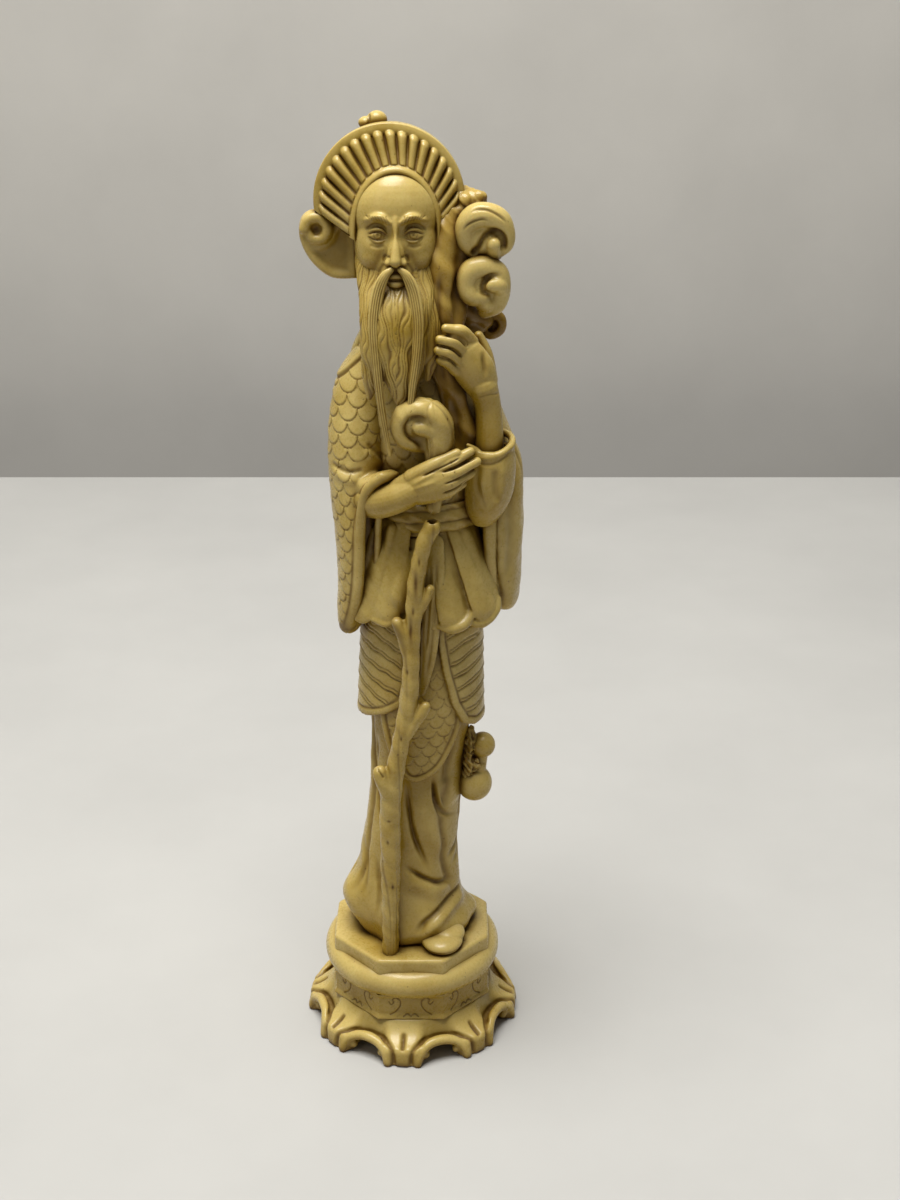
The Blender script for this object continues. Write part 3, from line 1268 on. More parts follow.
fingers = [
    ((6.4, -19.7, 170.2), (11.0, -19.6, 172.0), (15.8, -17.6, 174.2), 1.5),
    ((7.0, -20.1, 167.8), (12.0, -20.0, 169.5), (17.4, -17.6, 171.6), 1.55),
    ((7.0, -19.9, 165.3), (11.4, -19.6, 166.7), (16.2, -17.4, 168.7), 1.5),
    ((6.6, -19.1, 162.9), (10.2, -18.9, 164.0), (14.0, -17.2, 165.7), 1.35),
]
hand = clay(
    "folded_hand_right",
    [
        tube(
            [
                (-11, -7.5, 159.3, 4.9), (-7, -13.3, 160.2, 4.7), (-2.4, -16.8, 162.2, 4.1),
                (1.4, -18.0, 164.4, 3.8),
            ],
            rows=24, around=24,
        ),
        tube(
            [
                (-4.4, -16.0, 161.6, 3.0), (0.2, -17.8, 164.2, 4.2), (4.8, -18.9, 166.1, 5.0),
                (9.4, -19.0, 167.4, 4.7),
            ],
            rows=24, around=24, flat=0.62,
        ),
        tube(
            [(1.4, -18.8, 168.0, 2.1), (6.6, -19.8, 171.4, 1.7), (12.4, -19.0, 174.2, 1.2)],
            rows=16, around=14,
        ),
        *[finger(*places) for places in fingers],
    ],
    0.2, 5,
)
between_fingers = [
    [(8.6, 170.0), (12.4, 171.2), (17.6, 173.2)], [(9.4, 167.2), (12.6, 168.2), (17.6, 170.4)],
    [(9.0, 164.7), (11.6, 165.5), (15.6, 167.4)],
]
cut(hand, between_fingers, 0.24, 0.6, 0.9)
cut(hand, [[(4.0, 168.9), (8.4, 171.1), (13.4, 173.4)]], 0.24, 0.5, 0.8)
cut(
    hand,
    [[(11.2, 171.4), (11.0, 172.9)], [(12.2, 169.2), (11.9, 170.6)], [(11.5, 166.0), (11.2, 167.3)]],
    0.2, 0.12, 0.3,
)
swell(
    hand,
    [[(1.2, 166.4), (4.6, 168.6), (7.4, 170.2)], [(1.2, 165.4), (4.6, 166.8), (7.6, 167.8)]],
    0.5, 0.2,
)
hand_over(hand, "hand_right", worn=-0.15)

left_fingers = [
    ((16.2, -12.6, 200.2), (13.8, -14.6, 203.2), (9.8, -15.6, 204.2), 1.5),
    ((14.8, -13.4, 197.8), (12.0, -15.6, 200.8), (8.4, -16.2, 201.6), 1.55),
    ((13.4, -13.8, 195.4), (10.8, -15.8, 198.2), (8.0, -16.2, 199.0), 1.5),
    ((12.4, -13.6, 193.2), (10.4, -15.4, 195.6), (8.4, -15.8, 196.5), 1.35),
]
hand = clay(
    "raised_hand_left",
    [
        tube(
            [(20.8, -9.4, 163, 4), (20.6, -10, 174, 3.6), (20.2, -10.2, 183, 3.3), (18.8, -11.2, 189, 3.7)],
            rows=24, around=24,
        ),
        tube(
            [(19.4, -10.8, 187, 3.5), (17.0, -12.2, 192.6, 5.0), (14.8, -12.8, 196.6, 4.7)],
            rows=16, around=24, flat=0.6,
        ),
        tube(
            [(20.6, -9.8, 190, 2.0), (19.7, -9.6, 196.4, 1.6), (17.8, -9.6, 201, 1.2)],
            rows=16, around=14,
        ),
        *[finger(*places) for places in left_fingers],
    ],
    0.2, 5,
)
between_fingers = [
    [(15.0, 199.4), (12.8, 201.9), (9.0, 203.0)], [(13.8, 197.0), (11.4, 199.4), (8.2, 200.4)],
    [(12.6, 194.8), (10.6, 196.9), (8.2, 197.8)],
]
cut(hand, between_fingers, 0.22, 0.5, 0.85)
cut(hand, [[(19.4, 191.6), (19.2, 194.4), (18.6, 198.4)]], 0.6, 0.6, 0.55, taper=0.4)
cut(hand, [[(17.6, 186.6), (20.4, 187.6), (23, 187.2)]], 0.3, 0.15, 0.3)
hand_over(hand, "hand_left", worn=-0.1)

# %% [markdown]
# ## The broken staff
# The staff is a branch: crooked, thicker at its knots, with stumps of twigs, and broken off below the hand.
# The break is hollow and splintered. Crook and staff are the same branch, made the same way.

# %% Staff
def bark(piece, spots=()):
    """Long shallow grooves of a polished branch, and small dark marks."""
    at = points(piece)
    middle = np.interp(at[:, 2], (30, 92, 108, 156), (-5.4, -2, 0.4, 6.6))
    angle = np.arctan2(at[:, 1] + 18.5, at[:, 0] - middle)
    grain = np.sin(5 * angle + 0.22 * at[:, 2]) * np.sin(0.13 * at[:, 2] + 2 * angle)
    push(piece, 0.14 * grain + waves(at, (9, 0.2, 0.4), (4.2, 0.05, 1.1)))
    stain(piece, 0.45 * smooth(-grain, 0.55, 1))
    for x, z, wide, long in spots:
        at, out = points(piece), outward(piece)
        away = np.hypot((at[:, 0] - x) / wide, (at[:, 2] - z) / long)
        mark = bell(away, 1) * smooth(-out[:, 1], 0.1, 0.5)
        push(piece, -0.3 * mark)
        stain(piece, 0.95 * mark)


staff_line = [
    (-5.5, -16.8, 29.8, 2.3), (-5.4, -17.4, 43.5, 2.3), (-5.3, -17.8, 59.5, 2.7), (-5.0, -18, 77.5, 2.75),
    (-2.6, -18.4, 92.5, 2.3), (0.2, -18.6, 107.5, 2.45), (1.0, -19, 123.5, 2.15), (2, -19.4, 138.5, 2.15),
    (4, -19.5, 150, 2.1), (6.4, -19.3, 155.2, 2.15),
]
knots = [
    [(-5.2, -18.2, 79.5, 2.6), (-6.6, -18.8, 83.6, 2.2), (-7.4, -19, 86.6, 1.9)],
    [(-1.6, -18.6, 96.5, 2.1), (1.4, -18.8, 101, 1.9), (4.4, -18.8, 105.6, 1.8)],
    [(0.8, -18.9, 119.5, 2.0), (-0.9, -19.2, 125, 1.8), (-2.4, -19.4, 129.6, 1.6)],
    [(1.6, -19.3, 130.5, 1.6), (4.2, -19.4, 135, 1.35), (5.8, -19.4, 138.6, 1.25)],
]
staff = clay(
    "broken_staff",
    [tube(staff_line, rows=70, around=20)] + [tube(knot, rows=12, around=14) for knot in knots],
    0.25, 5,
)
hollow(staff, tube([(5.9, -19.4, 154, 1.15), (7.1, -19.4, 160, 1.6)], rows=8), 0.24, 3)
cut(staff, [[(-8.2, 88.2), (-7.2, 86.8), (-6.4, 85.6)]], 0.25, 0.35, 0.7)
spots = [
    (2.3, 140.6, 0.55, 3.4), (0.9, 128, 0.5, 3.6), (3.2, 146.5, 0.3, 1.0), (1.6, 133, 0.35, 1.2),
    (-0.2, 116, 0.3, 0.9), (-1.9, 97, 0.3, 0.8), (-5.8, 66, 0.3, 0.6), (-4.6, 52, 0.35, 0.8),
    (-5.4, 72.6, 0.5, 0.4),
]
bark(staff, spots)
stand_on(staff, LEVEL + 0.02)
hand_over(staff, "staff", worn=-0.35)

# %% [markdown]
# ## The crook
# The crook is a strand that winds inwards, with a lobe laid over its root and a ball that closes its
# middle. The valley between strand and lobe is cut deeper afterwards.

# %% Crook
crook_keys = [
    (7.0, -16.2, 159.4, 1.9), (7.3, -15.8, 165, 2.3), (7.6, -15.8, 170, 3.0), (8.2, -16.2, 175, 3.6),
    (8.4, -16.8, 179.4, 3.6), (6.9, -17.2, 183.0, 3.5), (3.6, -17.4, 184.5, 3.2),
    (0.5, -17.2, 183.2, 3.1), (-0.7, -16.8, 180.2, 3.0), (0.4, -16.4, 177.2, 2.8),
    (3.0, -15.8, 175.8, 2.5), (5.2, -15.4, 176, 2.0),
]
lobe = [(8.6, -17.2, 178.0, 2.4), (6.2, -18.2, 180.0, 2.3), (3.6, -18.7, 180.7, 2.0)]
crook = clay(
    "curled_crook",
    [
        tube(crook_keys, rows=110, around=24), tube(lobe, rows=24, around=18),
        ball((3.2, -16.4, 180.2), (3.6, 1.8, 3.6)),
    ],
    0.24, 5,
)
curl_valley = [
    (5.6, 182.4), (4.4, 183.1), (3.0, 183.2), (1.2, 182.8), (0.2, 181.4), (0.2, 179.6), (1.2, 178.1),
    (2.6, 177.2), (3.8, 175.8), (4.2, 173.6),
]
cut(crook, [curl_valley], 0.75, 1.25, 0.75, taper=0.2)
bark(crook)
hand_over(crook, "staff_crook")

# %% [markdown]
# ## The cloud spray
# Behind the raised hand a stem branches into three clouds, with rocky knobs on top. The two large clouds
# are made like the crook. The small one behind the stem is a volute, and so is the root of each side flap
# of the hat later on: a strand given by degrees and distance from its centre, on a web that closes the
# middle. Stem and back cloud were stained darker than the figure.

# %% Clouds
def round_centre(centre, degrees, reach):
    """X and Z of a place by degrees and distance from a centre."""
    angle = math.radians(degrees)
    return centre[0] + reach * math.cos(angle), centre[2] + reach * math.sin(angle)


def volute(centre, places, radius):
    """A strand through places in degrees, distance and thickness, and the web behind it."""
    keys = []
    for degrees, reach, thick in places:
        x, z = round_centre(centre, degrees, reach)
        keys.append((x, centre[1], z, thick))
    deepest = max(thick for _, _, thick in places)
    web = ball((centre[0], centre[1] + 0.55 * deepest, centre[2]), (radius, 0.8 * deepest, radius))
    return [tube(keys, rows=90, around=22), web]


hood = [
    (16.4, -6.4, 220.6, 1.7), (14.7, -6.8, 223.4, 2.4), (14.8, -7.2, 226.8, 2.8),
    (16.8, -7.4, 229.0, 3.2), (19.6, -7.6, 229.4, 3.2), (22.4, -7.6, 228.2, 3.0),
    (24.0, -7.6, 225.4, 2.4), (24.1, -7.6, 222.8, 2.0), (22.8, -7.2, 221.0, 1.5),
]
cloud = clay(
    "upper_cloud",
    [
        tube(hood, rows=90, around=22), ball((19.2, -6.0, 225.0), (5.8, 3.6, 5.4)),
        tube(
            [(21.4, -6.8, 220.4, 1.9), (21.4, -8.4, 222.0, 2.0), (21.4, -9.4, 223.0, 1.9)],
            rows=14, around=18,
        ),
    ],
    0.22, 5,
)
pocket = [
    (16.0, 219.8), (17.6, 222.2), (18.6, 224.2), (19.8, 225.6), (21.6, 226.0), (23.3, 225.0),
    (23.9, 223.2), (23.6, 221.2),
]
cut(cloud, [pocket], 0.7, 1.2, 1.0, taper=0.08)
arcs = [
    [(15.3, 230.3), (17.3, 231.3), (19.7, 231.2), (22.0, 230.1), (23.8, 228.6), (24.5, 227.2)],
    [(13.9, 226.1), (14.9, 227.6), (16.6, 228.6), (18.7, 229.1), (20.2, 228.5)],
]
cut(cloud, arcs, 0.3, 0.4, 0.75, towards=(0, -0.8, 0.6), taper=0.3)
hand_over(cloud, "cloud_upper", worn=0.9)

hook = [
    (19.4, -6.0, 206.4, 2.0), (22.0, -6.8, 208.2, 2.4), (23.0, -7.6, 212.0, 2.5),
    (22.2, -7.8, 215.8, 2.7), (19.2, -8.0, 217.3, 2.8), (15.9, -8.0, 216.3, 2.9),
    (14.9, -8.0, 213.2, 2.7), (16.1, -8.2, 210.6, 2.6), (18.8, -8.2, 210.2, 2.1),
]
cloud = clay(
    "lower_cloud",
    [
        tube(hook, rows=90, around=22), ball((18.9, -6.6, 212.8), (5.2, 3.4, 5.2)),
        ball((19.6, -7.2, 208.4), (2.8, 2.6, 2.4)),
        tube(
            [(23.2, -8.0, 211.6, 2.1), (22.6, -9.4, 213.2, 2.0), (20.9, -9.8, 213.4, 1.8)],
            rows=14, around=18,
        ),
    ],
    0.22, 5,
)
valley = [
    (23.4, 215.2), (22.2, 215.9), (20.6, 215.7), (19.2, 214.7), (18.5, 213.1), (18.9, 211.8),
    (20.2, 211.2), (21.4, 210.0),
]
cut(cloud, [valley], 0.55, 0.95, 0.75, taper=0.3)
hand_over(cloud, "cloud_lower", worn=0.9)

back_cloud = (20.8, 0, 201.6)
turn_in = [
    (140, 2.6, 1.5), (90, 2.6, 1.6), (30, 2.6, 1.6), (-30, 2.6, 1.5), (-90, 2.5, 1.4), (-150, 1.9, 1.2),
    (-200, 1.0, 1.0),
]
cloud = clay("back_cloud", volute(back_cloud, turn_in, 3.0), 0.2, 4)
inner_turn = [round_centre(back_cloud, *place) for place in ((60, 1.2), (0, 1.3), (-60, 1.2), (-120, 0.8))]
cut(cloud, [inner_turn], 0.6, 0.7, 1.0)
hand_over(cloud, "cloud_back", slot="stained_resin")

# %% Stem and knobs
stem_line = [
    (14.4, -9, 169.5, 2.6), (14.2, -9.4, 177, 3.2), (11.6, -9.8, 185, 3.2), (10.0, -10.2, 192, 3.2),
    (9.6, -8.6, 200, 4.2), (9.8, -5.0, 210, 5.4), (11.4, -2.8, 220, 5.8), (13.6, -1.4, 230, 5.0),
]
rocks = [
    ((15.4, -1.8, 231.4), (4.4, 3.6, 3.4)), ((17.8, -3.0, 233.0), (2.4, 2.2, 1.9)),
    ((14.4, -4.0, 232.4), (2.0, 1.6, 1.6)),
    ((17.4, -4.6, 230.8), (1.7, 1.3, 1.4)), ((12.6, -4.6, 229.4), (2.4, 2.0, 2.4)),
    ((20.4, -3.4, 220.6), (3.2, 2.4, 3.0)), ((15.4, -2.4, 199.6), (3.4, 2.6, 3.6)),
]
stem = clay(
    "cloud_stem_with_knobs",
    [
        tube(stem_line, rows=70, around=28, flat=0.8),
        tube([(12.4, -3, 206.6, 3.6), (18.4, -0.6, 202.6, 3)], rows=10),
        tube(
            [
                (9.4, -9.0, 196, 2.8), (8.8, -8.0, 205, 3.8), (8.8, -6.6, 214, 4.2),
                (9.8, -5.0, 222, 4.0), (11.4, -3.4, 229, 3.4),
            ],
            rows=36, around=24,
        ),
        *[ball(*rock) for rock in rocks],
    ],
    0.28, 5,
)
stem_cuts = [
    [(12.6, 203), (12.4, 211), (13.0, 218)], [(8.4, 203), (8.0, 210), (8.8, 217)],
    [(9.8, 188), (8.8, 194), (9.4, 200)],
    [(12.8, 172), (12.6, 180), (10.4, 187)],
]
cut(stem, stem_cuts, 0.9, 0.6, 0.6, taper=0.35)
at = points(stem)
rocky = smooth(at[:, 2], 224, 229) * waves(at, (3.4, 0.22, 0.5), (1.7, 0.06, 1.3))
push(stem, waves(at, (11, 0.5, 0.9), (5, 0.14, 0.2)) + rocky)
hand_over(stem, "cloud_stem", slot="stained_resin")


# %% [markdown]
# ## The head
# The face is designed here, calm and regular, on the thirds of a drawing book: hairline, brow, nose and
# chin stand at equal steps, and the eyes are one eye's width apart. Skull, jaw, cheeks, nose, lids and lips
# are clay lumps on both sides of the middle, so the face is even.

# %% Head as clay
MID = -2.0  # the middle of the face in X


def pair(build):
    """The same lump on both sides of the face; build(side) gets 1 and -1."""
    return [build(side) for side in (1, -1)]


def mirrored(side, *places):
    """Places of the face, with X measured from its middle towards one side."""
    return [(MID + x * side, *rest) for x, *rest in places]


head = clay(
    "calm_head",
    [
        ball((MID, -1, 225.4), (10.6, 11.6, 14.8)), ball((MID, -4.6, 217.6), (7.9, 7.8, 9.6)),
        ball((MID, -5.2, 229.2), (10.3, 7.0, 10.6)),
        *pair(lambda s: ball((MID + 4.5 * s, -4.6, 222.6), (5.7, 7.0, 10.0))),
        tube([(-1.6, 2.2, 203.4, 6.2), (-1.8, 1.6, 210, 6.2), (MID, 1, 218, 6.8)], rows=16, around=40),
        tube(
            [
                (MID, -11.7, 229.4, 0.9), (MID, -13.1, 225.4, 1.0), (MID, -14.5, 221.4, 1.2),
                (MID, -14.9, 219.9, 1.45),
            ],
            rows=24, around=20,
        ),
        tube(
            [(MID, -10.6, 228.2, 1.5), (MID, -12.0, 223.6, 2.0), (MID, -12.6, 219.9, 2.3)],
            rows=20, around=20,
        ),
        *pair(lambda s: ball((MID + 1.75 * s, -13.3, 219.3), (1.05, 1.35, 1.0))),
        *pair(
            lambda s: tube(
                mirrored(s, (1.2, -11.9, 228.4, 0.8), (3.8, -11.8, 229.8, 1.0), (7.2, -9.6, 228.8, 0.7)),
                rows=20,
            )
        ),
        *pair(lambda s: ball((MID + 5.0 * s, -8.4, 220.2), (3.6, 3.0, 3.9))),
        ball((MID, -11.4, 215.4), (4.0, 2.3, 3.0)),
    ],
    0.22, 14,
)
at, out = points(head), outward(head)
front = smooth(-out[:, 1], 0.0, 0.4)
socket = np.zeros(len(at))
for s in (1, -1):
    x, z = at[:, 0] - MID - 3.9 * s, at[:, 2] - 225.6
    socket += np.exp(-((x / 2.7) ** 2) - ((z / 1.9) ** 2))
push(head, -1.5 * socket * front)
HAIRLINE, THIRD = 238.8, 10.1
print("hairline, brow, nose and chin:", [round(HAIRLINE - k * THIRD, 1) for k in range(4)], "mm")


# %% Lids, lips and nostrils
lid_lines = (
    [
        (1.9, -11.0, 225.1, 0.3), (3.3, -11.5, 226.7, 0.46), (5.2, -11.0, 226.7, 0.46),
        (6.9, -9.3, 225.5, 0.32),
    ],
    [
        (1.9, -11.0, 225.1, 0.25), (3.5, -11.4, 224.0, 0.36), (5.3, -10.9, 224.2, 0.36),
        (6.9, -9.3, 225.5, 0.26),
    ],
    [(1.4, -12.3, 228.6, 0.55), (3.9, -12.3, 229.9, 0.7), (7.0, -10.2, 228.9, 0.4)],
)
lip_lines = (
    [
        (-2.9, -12.6, 215.6, 0.3), (-1.0, -13.7, 216.2, 0.7), (1.0, -13.7, 216.2, 0.7),
        (2.9, -12.6, 215.6, 0.3),
    ],
    [
        (-2.5, -12.6, 215.2, 0.3), (-0.9, -13.6, 214.4, 0.85), (0.9, -13.6, 214.4, 0.85),
        (2.5, -12.6, 215.2, 0.3),
    ],
)
eye_cuts = (
    ([(1.9, 225.1), (3.4, 226.2), (5.2, 226.2), (6.9, 225.5)], 0.24, 0.35, 1.0),
    ([(2.1, 226.9), (3.7, 227.9), (5.5, 227.8), (7.3, 226.4)], 0.3, 0.3, 0.6),
    ([(2.1, 224.8), (3.6, 224.4), (5.2, 224.5), (6.7, 225.1)], 0.18, 0.2, 0.75),
    ([(2.6, 223.2), (4.4, 222.7), (6.2, 223.2)], 0.4, 0.2, 0.3),
)
cheek_cuts = (
    ([(1.2, 220.9), (2.6, 220.6), (3.0, 219.1)], 0.26, 0.25, 0.5),
    ([(2.6, 219.0), (3.9, 216.9), (4.2, 215.2)], 0.4, 0.22, 0.3),
)


def lids(s):
    """The eyeball with an upper and a lower lid and the brow over it."""
    eye = ball((MID + 4.3 * s, -9.7, 225.4), (2.5, 2.0, 1.9))
    return [eye] + [tube(mirrored(s, *line), rows=20, around=12) for line in lid_lines]


def cut_face(s, cuts):
    for line, width, depth, dark in cuts:
        cut(head, [mirrored(s, *line)], width, depth, dark)


lips = [tube(mirrored(1, *line), rows=20, around=14) for line in lip_lines]
head = clay("calm_head", [head, *lids(1), *lids(-1), *lips], 0.19, 3)
for s in (1, -1):
    cut_face(s, eye_cuts)
    at, out = points(head), outward(head)
    iris = np.hypot(at[:, 0] - MID - 4.2 * s, at[:, 2] - 225.6)
    open_eye = smooth(-out[:, 1], 0.5, 0.8) * (at[:, 2] < 226.1) * (at[:, 2] > 224.4)
    ring, pupil = bell(iris - 1.0, 0.18) * open_eye, bell(iris, 0.38) * open_eye
    push(head, -(0.12 * ring + 0.25 * pupil))
    stain(head, np.maximum(0.4 * ring, 0.8 * pupil))
    cut_face(s, cheek_cuts)
    brow = [
        mirrored(s, (1.4 + 0.66 * k, 228.2 + 0.15 * k), (2.2 + 0.7 * k, 230.2 - 0.03 * k)) for k in range(8)
    ]
    cut(head, brow, 0.16, 0.16, 0.5)
cut_face(1, [([(-2.8, 215.4), (-1.0, 215.3), (1.0, 215.3), (2.8, 215.4)], 0.22, 0.35, 0.9)])
at, out = points(head), outward(head)
for s in (1, -1):
    hole = np.linalg.norm(at - np.array([MID + 0.85 * s, -14.2, 218.5]), axis=1)
    mark = bell(hole, 0.5) * smooth(-out[:, 2], 0.1, 0.6)
    push(head, -0.4 * mark, out)
    stain(head, 0.85 * mark)
hand_over(head, "head")

# %% [markdown]
# ## Beard and moustache
# The beard is hair carved as fine strands about 0.7 mm wide that run down and a little sideways. Curves of
# hair could be grown on the face, but the real strands are grooves in one solid. So the beard is clay, and
# waves across the flow of the hair give the strands.

# %% Strands of hair
STRAND = 0.72  # width in mm
STRAND_HEIGHT = 0.2


def strands(piece, across, along):
    """Grooves between strands; across is measured in mm over the flow, along down the flow."""
    flow = across + 0.35 * np.sin(0.42 * along + 1.7 * across)
    flow += 0.2 * np.sin(0.9 * along - 0.6 * across + 1)
    fine = np.abs(np.sin(math.pi * flow / STRAND))
    broad = np.abs(np.sin(math.pi * flow / (3.4 * STRAND) + 0.6))
    push(piece, STRAND_HEIGHT * (fine**0.7 - 0.7) + 1.1 * STRAND_HEIGHT * (broad**0.6 - 0.8))
    stain(piece, 0.8 * np.maximum(0.75 * bell(fine, 0.3), bell(broad, 0.16)))


beard_keys = [
    (-4.4, -16, 191.5, 3, 1), (-3.8, -15.8, 197, 6.6, 2.6), (-2.6, -14.4, 203.9, 8.2, 3.8),
    (-2, -11.8, 209.5, 8.9, 4.8), (-2, -8.4, 214.5, 9.5, 4.4), (-2, -5.4, 219.5, 10, 4.6),
    (-2, -3.6, 224.0, 9.0, 3.6),
]
locks = (
    (
        18, 0.7,
        [
            (-7.6, -14.6, 205, 2.6), (-7.6, -15.0, 199.3, 2.8), (-8, -15.4, 192.4, 2.4),
            (-8.6, -15.6, 187.1, 0.7),
        ],
    ),
    (
        20, 0.7,
        [
            (-2, -14.6, 206, 3.4), (-2, -15.8, 199.3, 4.0), (-1.4, -16.4, 192.4, 3.6),
            (-0.9, -16.6, 184.8, 0.9),
        ],
    ),
    (
        18, 0.7,
        [
            (2.6, -14.2, 205, 2.4), (3.0, -14.8, 200, 2.4), (2.4, -15.4, 194.0, 1.9),
            (1.6, -15.8, 188.4, 0.6),
        ],
    ),
    (
        18, 0.8,
        [(5.0, -11.6, 210, 2.2), (5.9, -12.4, 204, 2.6), (6.2, -13.2, 198, 2.4), (5.4, -14.0, 191.4, 0.7)],
    ),
)
lumps = [rolled("body", upright(beard_keys, 50, 72))]
lumps += [tube(line, rows=30, around=around, flat=flat) for around, flat, line in locks]
beard = clay("stranded_beard", lumps, 0.19, 5)
at = points(beard)
angle = np.arctan2(at[:, 1] + 4, at[:, 0] - MID)
strands(beard, 10.5 * turned_by(angle, FRONT) + 0.1 * (215 - at[:, 2]) * np.sign(at[:, 0] - MID), at[:, 2])
hand_over(beard, "beard", worn=-0.5, most=105000)

# %% Moustache
upper_part = [
    (1.0, -14.8, 218.0, 0.7), (2.7, -15.0, 216.4, 1.2), (4.3, -15.2, 212.4, 1.6),
    (5.2, -16.6, 205.8, 1.5), (4.9, -17.8, 198.6, 1.25),
]
for name, side, low in (("moustache_right", -1, 173.5), ("moustache_left", 1, 182.5)):
    line = mirrored(side, *upper_part, (3.8, -18.6, (198.6 + low) / 2, 1.0))
    line.append((MID + 2.4 * side + 0.6, -19.0, low, 0.45))
    strand = clay(name + "_strand", [tube(line, rows=80, around=20, flat=0.75)], 0.17, 4)
    centre = np.array(line)[:, (0, 2)]
    threads = [curve_through(centre + (offset, 0)) for offset in (-0.95, -0.35, 0.25, 0.85)]
    cut(strand, [thread[::4] for thread in threads], 0.16, 0.22, 0.75, reach=0)
    hand_over(strand, name)

# %% [markdown]
# ## The fan crown
# This is the figurine's finest carving: nineteen drop-shaped ribs stand side by side like a fan, each fat
# and round at its outer end, between a smooth band round the forehead and a thin rim. The fan is rolled up
# along its arc: each row is one radial section, and a function raises the ribs in it.

# %% Fan crown
RIBS = 19
BAND = 9.9  # half the width of the band at the temples
FAN = 18.2  # radius of the rim
arc = np.linspace(-0.12, math.pi + 0.12, 24 * RIBS + 1)
pitch_angle = (arc[-1] - arc[0]) / RIBS
inner = np.stack([MID + BAND * np.cos(arc), 225.2 + 14.2 * np.sin(arc)], axis=1)
outer = np.stack([-3.7 + FAN * np.cos(arc), 232.2 + FAN * np.sin(arc)], axis=1)
spoke = outer - inner
width = np.linalg.norm(spoke, axis=1)[:, None]
reach = np.linspace(0, 1, 84)[None] * (width + 1.1) - 1.1
across = (np.mod((arc - arc[0]) / pitch_angle, 1) - 0.5)[:, None] * pitch_angle
girth = BAND + reach * (FAN - BAND) / width
half = 0.5 * pitch_angle * girth
round_end = width - 1.5 - 0.5 * pitch_angle * 16
beside = across * girth
fat = smooth(reach, 1.6, 0.75 * width)
gap = np.hypot(beside, np.maximum(reach - round_end, 0)) / ((0.76 + 0.16 * fat) * half)
rib = np.sqrt(np.clip(1 - gap**2, 0, 1)) * (0.35 + 0.9 * fat)
started = smooth(reach, 1.35, 2.0)
rim = np.sqrt(np.clip(1 - ((reach - width + 1.0) / 1.7) ** 2, 0, 1))
band = np.sqrt(np.clip(1 - ((reach - 0.6) / 0.95) ** 2, 0, 1))
proud = np.maximum(np.maximum(started * rib * 1.4, 0.9 * band), 0.85 * rim)
at_band, at_rim = -8.6, -3.0
slope = at_band + (at_rim - at_band) * smooth(reach / width, -0.35, 1.15)
deep = slope - proud + 0.55 + 1.2 * smooth(-reach, 0.2, 1.1)
groove = started * np.clip(1 - rib / 0.35, 0, 1) * (1 - np.clip(rim * 1.3, 0, 1))
x, z = (inner[:, [n]] + spoke[:, [n]] * reach / width for n in (0, 1))
face = np.stack([x, deep, z], axis=-1)
BACK = 12  # points down the back of each section
x, z = (inner[:, [n]] + spoke[:, [n]] * np.linspace(1, 0, BACK) for n in (0, 1))
behind = np.stack([x, np.linspace(0.6, -1.85, BACK) + 0 * x, z], axis=-1)
tone = np.concatenate([0.9 * groove, np.zeros((len(arc), BACK))], axis=1)
crown = rolled("fan_crown_with_ribs", np.concatenate([face, behind], axis=1), tone)
apply(crown, "SMOOTH", factor=0.5, iterations=2)
print("crown:", RIBS, "ribs,", round(math.degrees(pitch_angle), 1), "degrees apart")
hand_over(crown, "crown", worn=-0.2)

# %% [markdown]
# ## Cap, knob and side flaps
# Behind the fan the hat is a plain cap with soft folds. The knob on top is a small fruit with two lobes.
# A rounded flap hangs from the hat at each side of the face, slightly hollow, with a volute at its root.

# %% Cap and knob
cap = clay(
    "cap_with_folds",
    [
        ball((-3.7, 1.7, 232.1), (17.7, 15, 18.0)),
        tube([(MID, 2, 220, 10.8), (-1.8, 1.6, 212, 10), (-1.4, 2.2, 206.4, 7.4)], rows=16, around=48),
    ],
    0.4, 8,
)
CAP_FRONT = -1.75  # the cap ends flat behind the fan
at = points(cap)
at[:, 1] = np.maximum(at[:, 1], CAP_FRONT)
move_to(cap, at)
folds = []
for a in np.linspace(-1.25, 1.25, 8):
    x, z = math.sin(a), math.cos(a)
    folds.append([(-4 + 16 * x, 232 + 17 * z), (-4 + 9 * x, 230 + 6 * z), (-3 + 3 * x, 224)])
cut(cap, folds, 0.8, 0.8, 0.6, towards=(0, 1, 0))
cut(cap, [[(-14, 222), (-8, 219.4), (-2, 218.6), (4, 219.4), (10, 222)]], 0.6, 0.7, 0.7, towards=(0, 1, 0))
hand_over(cap, "cap", worn=-0.1)

knob = clay(
    "two_lobed_knob",
    [
        ball((-6.6, 3.4, 250.2), (2.5, 2.4, 2.2)), ball((-9.2, 3.4, 249.6), (1.9, 2.0, 1.5)),
        ball((-7.1, 4.0, 248), (2.8, 2.6, 1.6)),
    ],
    0.18, 4,
)
cut(knob, [[(-8.5, 252), (-8.4, 250), (-8.7, 248)]], 0.3, 0.3, 0.8)
hand_over(knob, "crown_knob")


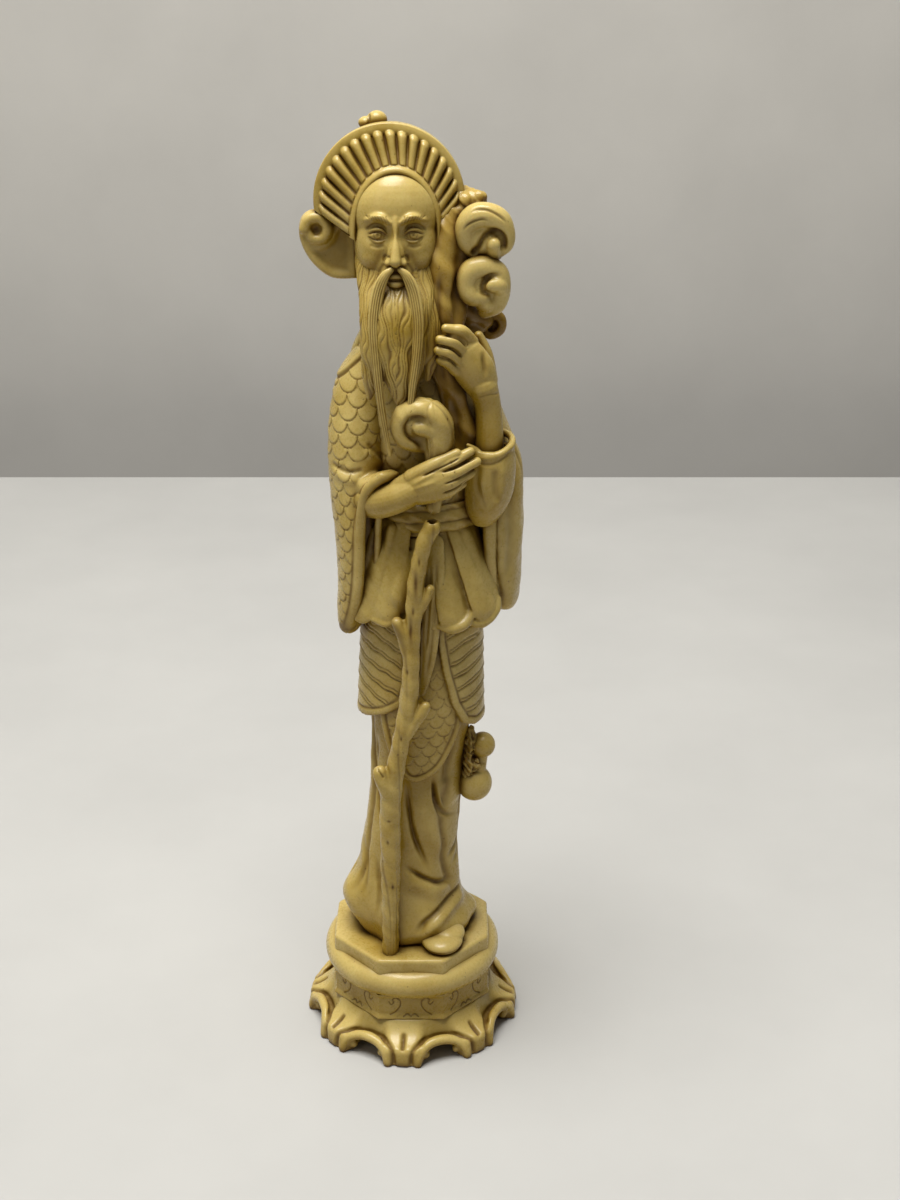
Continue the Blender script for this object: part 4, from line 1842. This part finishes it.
# %% Side flaps
def slab(name, outline, front, back):
    """A flat piece with a rounded edge through an outline in X and Z."""
    edge = curve_through([*outline, outline[0]], 12)[:-1]
    inwards = edge.mean(axis=0) - edge
    inwards /= np.linalg.norm(inwards, axis=1, keepdims=True)
    rings = []
    for t in np.linspace(0, math.pi, 13):
        y = front + (back - front) * (1 - math.cos(t)) / 2
        flat = edge + inwards * (1 - math.sin(t))
        rings.append(np.stack([flat[:, 0], np.full(len(flat), y), flat[:, 1]], axis=1))
    return rolled(name, np.array(rings))


flap_shape = [
    (-11.6, 213.2), (-18, 213.4), (-23, 217.4), (-25.6, 223), (-25.0, 228), (-21.6, 229.8), (-17, 227),
    (-11.6, 228),
]
root_turns = [
    (180, 2.7, 1.5), (125, 2.7, 1.6), (70, 2.7, 1.6), (10, 2.7, 1.6), (-50, 2.7, 1.5), (-110, 2.4, 1.3),
    (-165, 1.7, 1.1),
]
for name, side in (("flap_right", -1), ("flap_left", 1)):
    outline = np.array([(MID - side * (x - MID), z) for x, z in flap_shape])
    centre = (MID + side * 19.4, -2.4, 225.4)
    turns = [(a if side < 0 else 180 - a, reach, thick) for a, reach, thick in root_turns]
    flap = clay(name + "_lobe", [slab("lobe", outline, -2.6, 1.2)] + volute(centre, turns, 3.2), 0.24, 5)
    at, out = points(flap), outward(flap)
    depth = inside(at[:, (0, 2)], curve_through([*outline, outline[0]]))
    away = smooth(np.hypot(at[:, 0] - centre[0], at[:, 2] - centre[2]), 4.4, 6)
    in_front = smooth(-out[:, 1], 0.2, 0.7)
    dish = smooth(depth, 1.0, 3.2) * in_front * away
    push(flap, -0.8 * dish)
    stain(flap, 0.35 * dish)
    at = points(flap)
    pit = bell(np.hypot(at[:, 0] - centre[0], at[:, 2] - centre[2]), 1.0) * in_front
    push(flap, -0.7 * pit, out)
    stain(flap, pit)
    hand_over(flap, name)


# %% [markdown]
# ## The end of the lesson
# The CAD box and the finished figurine's box are written side by side, and the frame checks that every
# piece rides on the root body.

# %% Sizes, and the finish
print(len(made), "pieces,", sum(made), "triangles")
